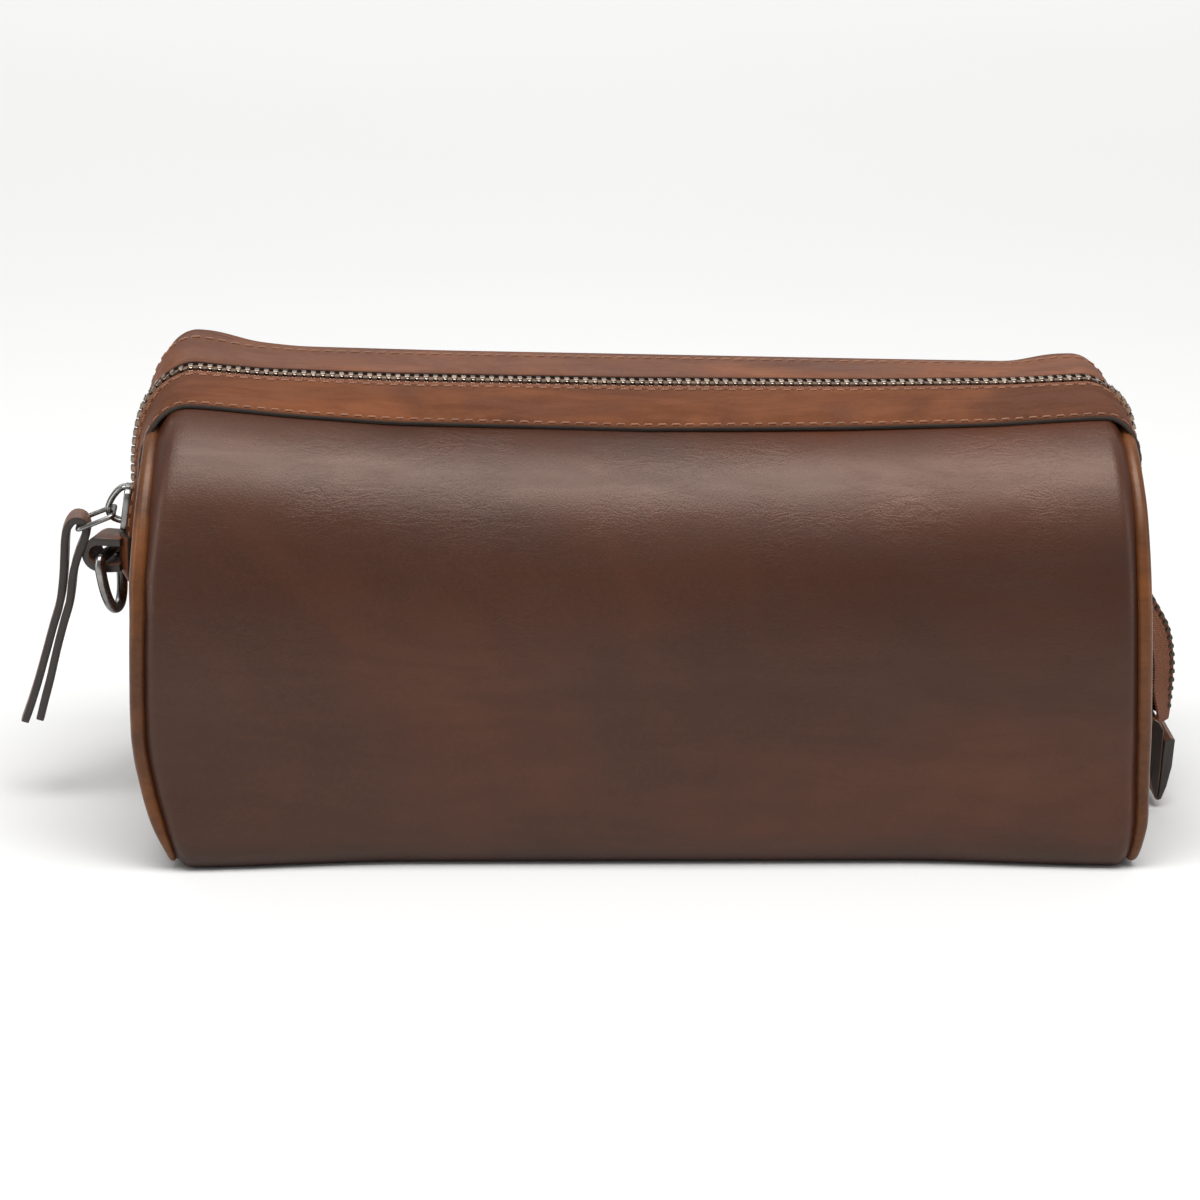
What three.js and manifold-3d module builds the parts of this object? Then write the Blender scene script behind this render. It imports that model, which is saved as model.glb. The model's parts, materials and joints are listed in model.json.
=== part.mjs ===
// A leather wash bag for shaving things: a wrap of dark leather round the base and both long walls,
// two end panels piped in tan leather, and a zip band of two leather strips that runs up one end,
// across the top and down the other. Above the lip height, the two halves of the band, each with its
// shoulder of the wrap, are the lips of the mouth, and move apart. A slider with a leather pull rests
// at the left end, over a ring on a leather tab, and the free tail of the zip hangs at the right end.
//
// Millimetres. +X runs along the bag to the right, -Y is the front and +Z is up. The origin is the
// middle of the base, on the surface that the bag stands on.
import * as THREE from "three";
import { mergeVertices } from "three/addons/utils/BufferGeometryUtils.js";
import Module from "manifold-3d";

const wasm = await Module();
wasm.setup();

// The bag as a whole.
const bagLength = 264; // over the piping of both ends
const bagDepth = 122; // across the waist
const bagHeight = 117; // from the base to the top of the zip band
const waistHeight = 48; // where the long walls are widest
const endWaistHeight = 62; // where the ends are widest
const lipBelowCorner = 5; // the lips part this far below the band's round corners
const baseFlat = 38; // half of the flat of the base, across the bag
const cornerPower = 3; // superellipse power of the corner under each wall
const shoulderPower = 2.5; // superellipse power of the shoulder above the waist
const footTaper = 7; // how far each end leans in at the base
const topLean = 3.5; // how far each end leans in at the top
const endBulge = 3.9; // how far each end panel swells past its piping

// Thicknesses and clearances.
const clearance = 0.3;
const wallLeather = 1.8;
const stripLeather = 1.6;
const liningCloth = 0.8;
const boardThickness = 1.6;
const pipingRadius = 2.4;

// The zip band.
const bandWidth = 64; // over both strips
const bandStandoff = 0.4; // between an end panel at its fullest and the back of the strips
const bandReachDown = 26; // how far the strips and the slots for the zip run down below the lips
const bandTopDrop = 4; // how much lower the band's edges are than its middle, on top
const bandEndDrop = 1.2; // the same, on the ends
const bandCornerRadius = 20; // at the middle of the band
const bandCornerTightening = 6; // how much smaller that radius is at the band's edges
const wallTuck = 3; // how far each wall goes in under the band
const stripGap = 0.5; // between the slider and the strip on each side of it
const tapeReach = 12; // half of the zip's width over its tapes
const tapeThickness = 0.6;
const chainWidth = 2.3; // one row of teeth
const chainThickness = 2.8;
const chainPart = 1.2; // between the rows, where the slider's post passes
const chainSink = 0.7; // the teeth lie this far below the strips' faces
const chainRise = 9; // lower end of the teeth on the left end, above the strips' feet
const stopLength = 2.9;
const stopOver = 0.3; // a stop clasps its tape a little wider than the teeth

// The slider and the pull.
const sliderRise = 1.4; // the slider's foot above the lower end of the teeth
const sliderLength = 12;
const sliderFlange = 1.3; // how far the slider reaches past the teeth on each side
const sliderPlate = 1.8;
const sliderKeel = 1.4; // the plate behind the teeth
const bridgeWidth = 3;
const bridgeReach = 5.3;
const bridgeWall = 1.1;
const bridgeFoot = 2.4; // from the slider's foot to the bridge's foot
const linkWire = 1.4;
const linkDroop = 22.4; // degrees below level
const pullGap = 0.5; // between the pull and the ring's tab
const pullLean = 2.3; // how far the pull has leant out where it passes the tab
const pullWidth = 8.6;
const pullLeather = 2.2;

// The ring and its tab.
const ringWire = 3;
const ringWidth = 18;
const ringDrop = 17; // from the bar's middle to the ring's lowest point
const ringTurn = 16; // degrees that the ring and its tab are turned, front end outwards
const ringOut = 6.5; // from the band's face to the bar's middle
const ringBelowSlider = 6.9; // the bar below the slider's foot
const tabLeather = 2.3;
const patchWidth = 18;
const patchLap = 10; // how far the patch reaches down past the strips' feet
const patchLeather = 1.4;

// The zip's tail at the right end.
const tailHalfWidth = 12;
const tailBow = 6; // how far the tape's edges fold back towards the bag
const tailTabTop = 24.8;
const tailTabFoot = 1.8;
const tailTabHalfWidth = 11;
const tailTabThickness = 4;

// What follows from the sizes above.
const halfDepth = bagDepth / 2;
const seamReach = bagLength / 2 - pipingRadius; // middle line of the piping, where the end is widest
const bandReach = seamReach + endBulge + bandStandoff + stripLeather; // the band's face on the ends
const lipHeight = bagHeight - bandCornerRadius - lipBelowCorner; // below this all is one with the base
const bandHalf = bandWidth / 2;
const pipingInset = pipingRadius + clearance; // middle line of the piping inside the section
const panelInset = pipingInset + pipingRadius + clearance;
const liningInset = wallLeather + clearance + boardThickness + clearance;
const tapeSink = stripLeather + clearance;
const teethStart = chainPart / 2;
const teethEnd = teethStart + chainWidth;
const tapeInner = teethEnd + clearance;
const flangeInner = teethEnd + clearance;
const sliderWidth = 2 * (flangeInner + sliderFlange);
const mouthSlot = sliderWidth + 2 * stripGap; // between the strips, where the zip shows
const bandFoot = lipHeight - bandReachDown;
const chainFoot = bandFoot + chainRise;
const sliderFoot = chainFoot + sliderRise;
const ringHeight = sliderFoot - ringBelowSlider;
const patchFoot = bandFoot - patchLap;
const panelSlot = tapeReach + clearance; // the end panels leave the zip's width free
const tuckDepth = bandHalf - wallTuck;

const leatherWrap = new THREE.MeshStandardMaterial({ color: 0x4a2d24, roughness: 0.42, metalness: 0 });
const leatherStrip = new THREE.MeshStandardMaterial({ color: 0x6e4024, roughness: 0.5, metalness: 0 });
const leatherPiping = new THREE.MeshStandardMaterial({ color: 0x8a5328, roughness: 0.4, metalness: 0 });
const leatherPull = new THREE.MeshStandardMaterial({ color: 0x3b2a22, roughness: 0.55, metalness: 0 });
const clothLining = new THREE.MeshStandardMaterial({ color: 0x8c7a64, roughness: 0.95, metalness: 0 });
const boardCard = new THREE.MeshStandardMaterial({ color: 0x6f5c48, roughness: 0.95, metalness: 0 });
const wovenTape = new THREE.MeshStandardMaterial({ color: 0x6b3d26, roughness: 0.9, metalness: 0 });
const zipMetal = new THREE.MeshStandardMaterial({ color: 0x77716a, roughness: 0.3, metalness: 1 });

// ---------------------------------------------------------------- general helpers

const lerp = THREE.MathUtils.lerp;
const radians = THREE.MathUtils.degToRad;
const smoothstep = THREE.MathUtils.smoothstep;

// Turns a geometry's faces round if they point inwards, and keeps only its positions.
function facingOut(geometry) {
  const merged = geometry.index ? geometry : mergeVertices(geometry);
  const position = merged.getAttribute("position");
  const index = Array.from(merged.index.array);
  const [a, b, c] = [new THREE.Vector3(), new THREE.Vector3(), new THREE.Vector3()];
  let volume = 0;
  for (let i = 0; i < index.length; i += 3) {
    a.fromBufferAttribute(position, index[i]);
    b.fromBufferAttribute(position, index[i + 1]);
    c.fromBufferAttribute(position, index[i + 2]);
    volume += a.dot(b.cross(c));
  }
  if (volume < 0) index.reverse();
  const result = new THREE.BufferGeometry();
  result.setAttribute("position", position.clone());
  result.setIndex(index);
  return result;
}

// A sheet bent to shape: a unit box, divided into columns and rows, whose points are moved by
// place(across, along, through), each of which runs from 0 to 1.
function sheet(columns, rows, place) {
  const geometry = new THREE.BoxGeometry(1, 1, 1, columns, rows, 1);
  const position = geometry.getAttribute("position");
  for (let i = 0; i < position.count; i++) {
    const moved = place(position.getX(i) + 0.5, position.getY(i) + 0.5, position.getZ(i) + 0.5);
    position.setXYZ(i, ...moved);
  }
  return facingOut(geometry);
}

// A round cord along a smooth curve through the points.
function cord(points, radius, sides, steps) {
  const circle = new THREE.Shape();
  for (let i = 0; i < sides; i++) {
    const angle = (i / sides) * 2 * Math.PI;
    const corner = [radius * Math.cos(angle), radius * Math.sin(angle)];
    if (i === 0) circle.moveTo(...corner);
    else circle.lineTo(...corner);
  }
  const extrudePath = new THREE.CatmullRomCurve3(points.map((p) => new THREE.Vector3(...p)));
  return new THREE.ExtrudeGeometry(circle, { steps, extrudePath, bevelEnabled: false });
}

// A box between two corners.
function block(low, high) {
  const size = high.map((value, axis) => value - low[axis]);
  const geometry = new THREE.BoxGeometry(...size);
  return geometry.translate(...low.map((value, axis) => value + size[axis] / 2));
}

// A flat outline given a depth centred on its own plane, then laid on the axes (right, up) at a place.
function plate(shape, depth, place, right, up, bevel = 0, curveSegments = 8) {
  const geometry = new THREE.ExtrudeGeometry(shape, {
    depth: depth - 2 * bevel,
    curveSegments,
    bevelEnabled: bevel > 0,
    bevelThickness: bevel,
    bevelSize: bevel,
    bevelOffset: -bevel,
    bevelSegments: 1,
  });
  geometry.translate(0, 0, bevel - depth / 2);
  const normal = new THREE.Vector3().crossVectors(right, up);
  const matrix = new THREE.Matrix4().makeBasis(right, up, normal).setPosition(...place);
  return geometry.applyMatrix4(matrix);
}

// A rectangle with round corners, drawn on a shape or a hole.
function roundedRectangle(path, left, bottom, right, top, radius) {
  path.moveTo(left + radius, bottom);
  path.lineTo(right - radius, bottom);
  path.absarc(right - radius, bottom + radius, radius, -Math.PI / 2, 0);
  path.lineTo(right, top - radius);
  path.absarc(right - radius, top - radius, radius, 0, Math.PI / 2);
  path.lineTo(left + radius, top);
  path.absarc(left + radius, top - radius, radius, Math.PI / 2, Math.PI);
  path.lineTo(left, bottom + radius);
  path.absarc(left + radius, bottom + radius, radius, Math.PI, 1.5 * Math.PI);
  return path;
}

// Booleans.
function solid(geometry) {
  const bare = new THREE.BufferGeometry();
  const source = geometry.index ? geometry.toNonIndexed() : geometry;
  bare.setAttribute("position", source.getAttribute("position"));
  const merged = mergeVertices(bare, 1e-3);
  return new wasm.Manifold(
    new wasm.Mesh({
      numProp: 3,
      vertProperties: merged.getAttribute("position").array,
      triVerts: new Uint32Array(merged.index.array),
    }),
  );
}

function geometryOf(manifold) {
  const mesh = manifold.getMesh();
  const geometry = new THREE.BufferGeometry();
  geometry.setAttribute("position", new THREE.BufferAttribute(mesh.vertProperties, 3));
  geometry.setIndex(new THREE.BufferAttribute(mesh.triVerts, 1));
  return geometry;
}

const bag = new THREE.Group();

function add(name, geometry, material) {
  const mesh = new THREE.Mesh(geometry, material);
  mesh.name = name;
  bag.add(mesh);
}

// ---------------------------------------------------------------- the zip band's surface

// The band's own line, as a station from -1 at its left foot to 1 at its right foot.
const topShare = 0.3;
const cornerShare = 0.5;
const bandColumns = 20;

// A point of the band above the lip height, y across the bag and sink below the strips' face.
function bandPoint(station, y, sink) {
  const edge = (y / bandHalf) ** 2;
  const reach = bandReach - bandEndDrop * edge;
  const top = bagHeight - bandTopDrop * edge;
  const radius = bandCornerRadius - bandCornerTightening * edge;
  const side = Math.sign(station) || 1;
  const way = Math.abs(station);
  const cornerX = reach - radius;
  const cornerZ = top - radius;
  if (way <= topShare) return [(side * cornerX * way) / topShare, y, top - sink];
  if (way <= topShare + cornerShare) {
    const angle = (((way - topShare) / cornerShare) * Math.PI) / 2;
    return [
      side * (cornerX + (radius - sink) * Math.sin(angle)),
      y,
      cornerZ + (radius - sink) * Math.cos(angle),
    ];
  }
  const down = (way - topShare - cornerShare) / (1 - topShare - cornerShare);
  return [side * (reach - sink), y, lerp(cornerZ, lipHeight + clearance / 2, down)];
}

function bandSheet(inner, outer, sink, thickness, rows) {
  return sheet(bandColumns, rows, (across, along, through) =>
    bandPoint(2 * across - 1, lerp(inner, outer, along), sink + thickness * through),
  );
}

// The band's straight part on one end, below the lip height.
function bandFootSheet(side, inner, outer, sink, thickness, low) {
  return sheet(3, 1, (across, along, through) => {
    const y = lerp(inner, outer, across);
    const reach = bandReach - bandEndDrop * (y / bandHalf) ** 2;
    return [side * (reach - sink - thickness * through), y, lerp(low, lipHeight - clearance / 2, along)];
  });
}

// ---------------------------------------------------------------- the section of the walls

const superellipse = (value, power) => Math.max(value, 0) ** (2 / power);

// The walls end just under the strips.
const tuckHeight = bandPoint(0, tuckDepth, stripLeather + 2 * clearance)[2];
const tuckAngle = Math.acos((tuckDepth / halfDepth) ** (shoulderPower / 2));
const shoulderRise = (tuckHeight - waistHeight) / superellipse(Math.sin(tuckAngle), shoulderPower);

// Half of the section, from the middle of the base to the wall's upper edge under the band.
class HalfSection extends THREE.Curve {
  getPoint(t, target = new THREE.Vector3()) {
    if (t < 1 / 3) return target.set(0, baseFlat * 3 * t, 0);
    if (t < 2 / 3) {
      const angle = ((3 * t - 1) * Math.PI) / 2;
      return target.set(
        0,
        baseFlat + (halfDepth - baseFlat) * superellipse(Math.sin(angle), cornerPower),
        waistHeight * (1 - superellipse(Math.cos(angle), cornerPower)),
      );
    }
    const angle = (3 * t - 2) * tuckAngle;
    return target.set(
      0,
      halfDepth * superellipse(Math.cos(angle), shoulderPower),
      waistHeight + shoulderRise * superellipse(Math.sin(angle), shoulderPower),
    );
  }
}
const section = new HalfSection();

// A point of the section, at a share of its length, moved in by an inset: [y, z].
function sectionPoint(share, inset) {
  const point = section.getPointAt(share);
  const tangent = section.getTangentAt(share);
  return [point.y - tangent.z * inset, point.z + tangent.y * inset];
}

// The share of the section's length at which it leaves a height. On the flat of the base every share
// has the same height, and the slack makes the answer the flat's outer end.
const heightSlack = 0.02;
function shareAt(height, inset = 0) {
  let [low, high] = [0, 1];
  for (let i = 0; i < 40; i++) {
    const middle = (low + high) / 2;
    if (sectionPoint(middle, inset)[1] < height + heightSlack) low = middle;
    else high = middle;
  }
  return (low + high) / 2;
}

const depthAt = (height, inset) => sectionPoint(shareAt(height, inset), inset)[0];

// Middle line of the piping along the bag, by height.
function seamX(z) {
  const below = Math.max(0, (endWaistHeight - z) / endWaistHeight);
  const above = Math.max(0, (z - endWaistHeight) / (bagHeight - endWaistHeight));
  return seamReach - footTaper * below ** 2 - topLean * above ** 2;
}

// The outer face of an end panel.
function endX(y, z) {
  const swell = endBulge * smoothstep(z, 0, waistHeight);
  return seamX(z) + swell * (1 - (y / depthAt(z, panelInset)) ** 2);
}

// ---------------------------------------------------------------- walls, base and ends

const lipFloor = lipHeight + clearance / 2;
const baseCeiling = lipHeight - clearance / 2;

// How far the band has curved down, at a distance along the bag, over the walls' upper edges.
function cornerDrop(x) {
  const edge = (tuckDepth / bandHalf) ** 2;
  const radius = bandCornerRadius - bandCornerTightening * edge;
  const past = Math.max(0, x - (bandReach - bandEndDrop * edge - radius));
  return radius - Math.sqrt(radius ** 2 - past ** 2);
}

// A point of a wall's layer at a share of the section: along runs from 0 to 1 over the bag's length.
function wallPoint(share, inset, along, endGap) {
  const [y, z] = sectionPoint(Math.abs(share), inset);
  const x = seamX(z) - pipingRadius - clearance - endGap;
  const lean = smoothstep(z, lipHeight, bagHeight - bandTopDrop);
  const drop = cornerDrop(x * Math.abs(2 * along - 1)) * lean;
  return [(2 * along - 1) * x, Math.sign(share) * y, z - drop];
}

// A layer of the trough: both walls below the lips, with the base between them.
function troughSheet(columns, inset, thickness, endGap) {
  return sheet(columns, 4, (across, along, through) => {
    const depth = inset + thickness * through;
    const share = lerp(-1, 1, across) * shareAt(baseCeiling, depth);
    return wallPoint(share, depth, along, endGap);
  });
}

// A layer of one lip's wall.
function lipSheet(face, columns, inset, thickness, endGap) {
  return sheet(columns, 4, (across, along, through) => {
    const depth = inset + thickness * through;
    return wallPoint(face * lerp(shareAt(lipFloor, depth), 1, across), depth, along, endGap);
  });
}

const liningEndGap = liningInset - pipingRadius - clearance + liningCloth + clearance;
add("base_wrap", troughSheet(34, 0, wallLeather, 0), leatherWrap);
add(
  "base_lining",
  troughSheet(24, liningInset, liningCloth, liningEndGap),
  clothLining,
);
const boardHalfLength = seamX(0) - pipingRadius - clearance - wallLeather;
const boardOutline = roundedRectangle(
  new THREE.Shape(),
  -boardHalfLength,
  -baseFlat,
  boardHalfLength,
  baseFlat,
  pipingRadius * 2,
);
const alongX = new THREE.Vector3(1, 0, 0);
const alongY = new THREE.Vector3(0, 1, 0);
const alongZ = new THREE.Vector3(0, 0, 1);
const boardMiddle = wallLeather + clearance + boardThickness / 2;
add("base_board", plate(boardOutline, boardThickness, [0, 0, boardMiddle], alongX, alongY), boardCard);

// A layer of an end panel below the lips, behind the face, with a slot for the zip.
function endBaseSheet(side, behind, thickness, edgeInset) {
  const layer = sheet(8, 12, (across, along, through) => {
    const z = lerp(panelFoot, baseCeiling, along ** 1.5);
    const y = lerp(-1, 1, across) * depthAt(z, edgeInset);
    return [side * (endX(y, z) - behind - thickness * through), y, z];
  });
  const slot = block([-bagLength, -panelSlot, bandFoot - clearance], [bagLength, panelSlot, bagHeight]);
  return geometryOf(solid(layer).subtract(solid(slot)));
}

// A layer of an end panel on one lip, from the zip's slot to the piping.
function endLipSheet(side, face, high, behind, thickness, edgeInset) {
  return sheet(3, 3, (across, along, through) => {
    const z = lerp(lipFloor, high, along);
    const y = face * lerp(panelSlot, depthAt(z, edgeInset), across);
    return [side * (endX(y, z) - behind - thickness * through), y, z];
  });
}

const panelFoot = 2 * pipingRadius + 2 * clearance;
const panelTop = bagHeight - bandTopDrop - bandCornerRadius * 0.45;
const liningEdge = liningInset + liningCloth + clearance;
const liningTop = panelTop - liningInset;
const ends = [
  ["left", -1],
  ["right", 1],
];
const lips = [
  ["front", -1],
  ["rear", 1],
];

for (const [end, side] of ends) {
  add(
    `${end}_end_base`,
    endBaseSheet(side, 0, wallLeather, panelInset),
    leatherWrap,
  );
  add(
    `${end}_lining_base`,
    endBaseSheet(side, liningInset, liningCloth, liningEdge),
    clothLining,
  );
}

// Piping: round each end from lip to lip under the base, then up each lip to the band.
function pipingPoints(side, from, to, count) {
  return Array.from({ length: count }, (_, i) => {
    const share = lerp(from, to, i / (count - 1));
    const [y, z] = sectionPoint(Math.abs(share), pipingInset);
    return [side * seamX(z), Math.sign(share) * y, z];
  });
}

// The part of a solid between two heights.
function between(geometry, low, high) {
  const slab = block([-bagLength, -bagDepth, low], [bagLength, bagDepth, high]);
  return geometryOf(solid(geometry).intersect(solid(slab)));
}

const pipingSplit = shareAt(lipHeight, pipingInset);
const pipingOverrun = 0.02; // share of the section by which the piping is made too long, then cut level
const pipingTopHeight =
  bandPoint(0, bandHalf, stripLeather)[2] - cornerDrop(seamReach) - pipingRadius - clearance;
const pipingTop = shareAt(pipingTopHeight, pipingInset);
for (const [end, side] of ends) {
  const reach = pipingSplit + pipingOverrun;
  const round = cord(pipingPoints(side, -reach, reach, 41), pipingRadius, 8, 60);
  add(`${end}_piping_base`, between(round, 0, baseCeiling), leatherPiping);
}

// ---------------------------------------------------------------- the lips of the mouth

for (const [lip, face] of lips) {
  add(`${lip}_wall`, lipSheet(face, 6, 0, wallLeather, 0), leatherWrap);
  add(
    `${lip}_lining`,
    lipSheet(face, 5, liningInset, liningCloth, liningEndGap),
    clothLining,
  );
  add(
    `${lip}_strip`,
    bandSheet((face * mouthSlot) / 2, face * bandHalf, 0, stripLeather, 3),
    leatherStrip,
  );
  add(
    `${lip}_zip_tape`,
    bandSheet(face * tapeInner, face * tapeReach, tapeSink, tapeThickness, 1),
    wovenTape,
  );
  add(
    `${lip}_zip_teeth`,
    bandSheet(face * teethStart, face * teethEnd, chainSink, chainThickness, 1),
    zipMetal,
  );
  for (const [end, side] of ends) {
    add(
      `${end}_end_${lip}`,
      endLipSheet(side, face, panelTop, 0, wallLeather, panelInset),
      leatherWrap,
    );
    add(
      `${end}_lining_${lip}`,
      endLipSheet(side, face, liningTop, liningInset, liningCloth, liningEdge),
      clothLining,
    );
    const start = pipingSplit - pipingOverrun;
    const points = pipingPoints(side, face * start, face * pipingTop, 7);
    const round = cord(points, pipingRadius, 8, 7);
    add(`${end}_piping_${lip}`, between(round, lipFloor, bagHeight), leatherPiping);
  }
}

// Below the lips, the band's strips, tapes and teeth on each end stay with the base.
for (const [end, side] of ends) {
  for (const [lip, face] of lips) {
    add(
      `${end}_strip_foot_${lip}`,
      bandFootSheet(side, (face * mouthSlot) / 2, face * bandHalf, 0, stripLeather, bandFoot),
      leatherStrip,
    );
    add(
      `${end}_tape_foot_${lip}`,
      bandFootSheet(side, face * tapeInner, face * tapeReach, tapeSink, tapeThickness, bandFoot),
      wovenTape,
    );
    const teethLow = side < 0 ? chainFoot : bandFoot;
    add(
      `${end}_teeth_foot_${lip}`,
      bandFootSheet(side, face * teethStart, face * teethEnd, chainSink, chainThickness, teethLow),
      zipMetal,
    );
  }
}
for (const [lip, face] of lips) {
  const stopTop = chainFoot - clearance;
  const stopOuter = bandReach - chainSink + stopOver;
  const stopInner = bandReach - chainSink - chainThickness - stopOver;
  const [low, high] = [face * teethStart, face * teethEnd].sort((a, b) => a - b);
  add(
    `${lip}_top_stop`,
    block([-stopOuter, low, stopTop - stopLength], [-stopInner, high, stopTop]),
    zipMetal,
  );
}

// ---------------------------------------------------------------- slider and pull

const sliderFace = bandReach - chainSink + clearance + sliderPlate; // outer face of the slider
const toTheLeft = new THREE.Vector3(-1, 0, 0);

// Seen from the left end, with y across and z up: a body whose top end is the broad one.
const flangeGrip = 0.4 * sliderFlange; // the flanges stop this far short of the slider's full width
function sliderOutline(width) {
  const shape = new THREE.Shape();
  const half = width / 2;
  const waist = half - flangeGrip;
  shape.moveTo(-waist, sliderFoot);
  shape.lineTo(waist, sliderFoot);
  shape.lineTo(half, sliderFoot + sliderLength * 0.45);
  shape.absarc(0, sliderFoot + sliderLength - half, half, 0, Math.PI);
  shape.lineTo(-half, sliderFoot + sliderLength * 0.45);
  return shape;
}

function sliderGeometry() {
  const keelFace = bandReach - chainSink - chainThickness - clearance;
  const outline = sliderOutline(sliderWidth);
  const front = plate(outline, sliderPlate, [-(sliderFace - sliderPlate / 2), 0, 0], alongY, alongZ);
  const keel = plate(outline, sliderKeel, [-(keelFace - sliderKeel / 2), 0, 0], alongY, alongZ);
  const post = block(
    [-(sliderFace - sliderPlate / 2), -(chainPart / 2 - clearance), sliderFoot + sliderLength * 0.4],
    [-(keelFace - sliderKeel / 2), chainPart / 2 - clearance, sliderFoot + sliderLength - 1],
  );
  let body = solid(front).add(solid(keel)).add(solid(post));
  // Flanges that hold the teeth in, stopping short of the tape.
  const tapeFace = bandReach - tapeSink;
  const flangeFoot = sliderFoot + 0.5;
  const flangeTop = sliderFoot + sliderLength * 0.5;
  const flangeOuter = sliderWidth / 2 - flangeGrip;
  for (const face of [-1, 1]) {
    const across = [face * flangeInner, face * flangeOuter].sort((a, b) => a - b);
    const flange = block(
      [-(sliderFace - sliderPlate / 2), across[0], flangeFoot],
      [-(tapeFace + clearance), across[1], flangeTop],
    );
    body = body.add(solid(flange));
  }
  // The bridge that the link hangs from, seen from the front: out along x and up along z.
  const bridge = new THREE.Shape();
  const foot = sliderFoot + bridgeFoot;
  const head = sliderFoot + sliderLength - 0.4;
  const rise = head - foot;
  bridge.moveTo(-sliderPlate / 2, foot);
  bridge.lineTo(bridgeReach * 0.6, foot);
  bridge.quadraticCurveTo(bridgeReach, foot, bridgeReach, foot + rise * 0.3);
  bridge.quadraticCurveTo(bridgeReach, foot + rise * 0.75, bridgeReach * 0.3, head);
  bridge.lineTo(-sliderPlate / 2, head);
  const eye = roundedRectangle(
    new THREE.Path(),
    bridgeWall,
    foot + bridgeWall,
    bridgeReach - bridgeWall,
    foot + rise * 0.62,
    linkWire / 2,
  );
  bridge.holes.push(eye);
  const arch = plate(bridge, bridgeWidth, [-sliderFace, 0, 0], toTheLeft, alongZ);
  return geometryOf(body.add(solid(arch)));
}
add("zip_slider", sliderGeometry(), zipMetal);

const linkPivotOut = bridgeReach / 2; // the link's bar lies in the middle of the eye, at its foot
const linkPivotUp = bridgeFoot + bridgeWall + clearance + linkWire / 2;
const linkPivot = [-(sliderFace + linkPivotOut), 0, sliderFoot + linkPivotUp];
const droop = radians(linkDroop);
const linkWay = new THREE.Vector3(-Math.cos(droop), 0, -Math.sin(droop));
const foldRadius = linkWire / 2 + clearance + pullLeather / 2;
const tabRadius = ringWire / 2 + clearance + tabLeather;
const tabWidth = ringWidth - 2 * ringWire - 2 * clearance;
const turn = radians(ringTurn);
const tabFar = bandReach + ringOut + tabRadius + (tabWidth / 2) * Math.sin(turn);
const foldFar = tabFar + pullGap - pullLean + foldRadius + pullLeather / 2;
const linkReach = (foldFar + linkPivot[0]) / Math.cos(droop); // between the bars of the link
const linkOutline = new THREE.Shape();
const linkInnerHalf = pullWidth / 2 + clearance;
const linkHalf = linkInnerHalf + linkWire;
roundedRectangle(linkOutline, -linkWire / 2, -linkHalf, linkReach + linkWire / 2, linkHalf, linkWire);
linkOutline.holes.push(
  roundedRectangle(
    new THREE.Path(),
    linkWire / 2,
    -linkInnerHalf,
    linkReach - linkWire / 2,
    linkInnerHalf,
    linkWire / 3,
  ),
);
add(
  "pull_link",
  plate(linkOutline, linkWire, linkPivot, linkWay, alongY, linkWire / 4, 2),
  zipMetal,
);

// The pull: one strip of leather folded over the link's far bar, its two ends hanging and curling
// outwards. Its middle line is given from the far bar, out to the left and down.
const foldX = linkPivot[0] + linkWay.x * linkReach;
const foldZ = linkPivot[2] + linkWay.z * linkReach;
const pullLine = new THREE.CatmullRomCurve3(
  [
    [0, 0],
    [1.7, -5],
    [2.9, -11],
    [3.8, -21],
    [6, -32],
    [9.9, -44],
    [14, -55],
  ].map(([out, up]) => new THREE.Vector3(foldX - out, 0, foldZ + up)),
);
const layerApart = pullLeather / 2 + 0.2;
const innerShorter = 0.985;
const foldShare = 0.28;

// The middle of the strip's thickness: way runs from the outer end, over the fold, to the inner end.
function pullPoint(way, offset) {
  const half = foldShare / 2;
  if (Math.abs(way - 0.5) < half) {
    const start = pullLine.getTangentAt(0);
    const turn = ((way - 0.5) / half) * (Math.PI / 2);
    const radius = foldRadius + offset;
    const [upX, upZ] = [-start.x, -start.z];
    const [acrossX, acrossZ] = [upZ, -upX];
    return [
      foldX + radius * (upX * Math.cos(turn) + acrossX * Math.sin(turn)),
      foldZ + radius * (upZ * Math.cos(turn) + acrossZ * Math.sin(turn)),
    ];
  }
  const outer = way < 0.5;
  const down = (Math.abs(way - 0.5) - half) / (0.5 - half);
  const share = down * (outer ? 1 : innerShorter);
  const point = pullLine.getPointAt(share);
  const tangent = pullLine.getTangentAt(share);
  const apart = lerp(foldRadius, layerApart, smoothstep(share, 0, 0.2)) + offset;
  const sign = outer ? 1 : -1;
  return [point.x + sign * tangent.z * apart, point.z - sign * tangent.x * apart];
}
add(
  "pull_strap",
  sheet(36, 1, (across, along, through) => {
    const [x, z] = pullPoint(across, pullLeather * (0.5 - through));
    return [x, lerp(-pullWidth / 2, pullWidth / 2, along), z];
  }),
  leatherPull,
);

// ---------------------------------------------------------------- ring, tab and patch

const outwards = new THREE.Vector3(-Math.cos(turn), Math.sin(turn), 0);
const rearwards = new THREE.Vector3(Math.sin(turn), Math.cos(turn), 0);
const ringPlace = [-(bandReach + ringOut), 0, ringHeight];

// The patch covers the zip's end: it lies on the base of the end panel and laps up over the strips.
const patchTop = sliderFoot - 2 * clearance;
add(
  "zip_end_patch",
  sheet(2, 6, (across, along, through) => {
    const y = patchWidth * (across - 0.5);
    const z = lerp(patchFoot, patchTop, along);
    const onPanel = endX(0, z) + clearance;
    const onBand = bandReach + clearance;
    const inner = lerp(onPanel, onBand, smoothstep(z, bandFoot - 7, bandFoot - 1));
    return [-(inner + patchLeather * (1 - through)), y, z];
  }),
  leatherStrip,
);

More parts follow.
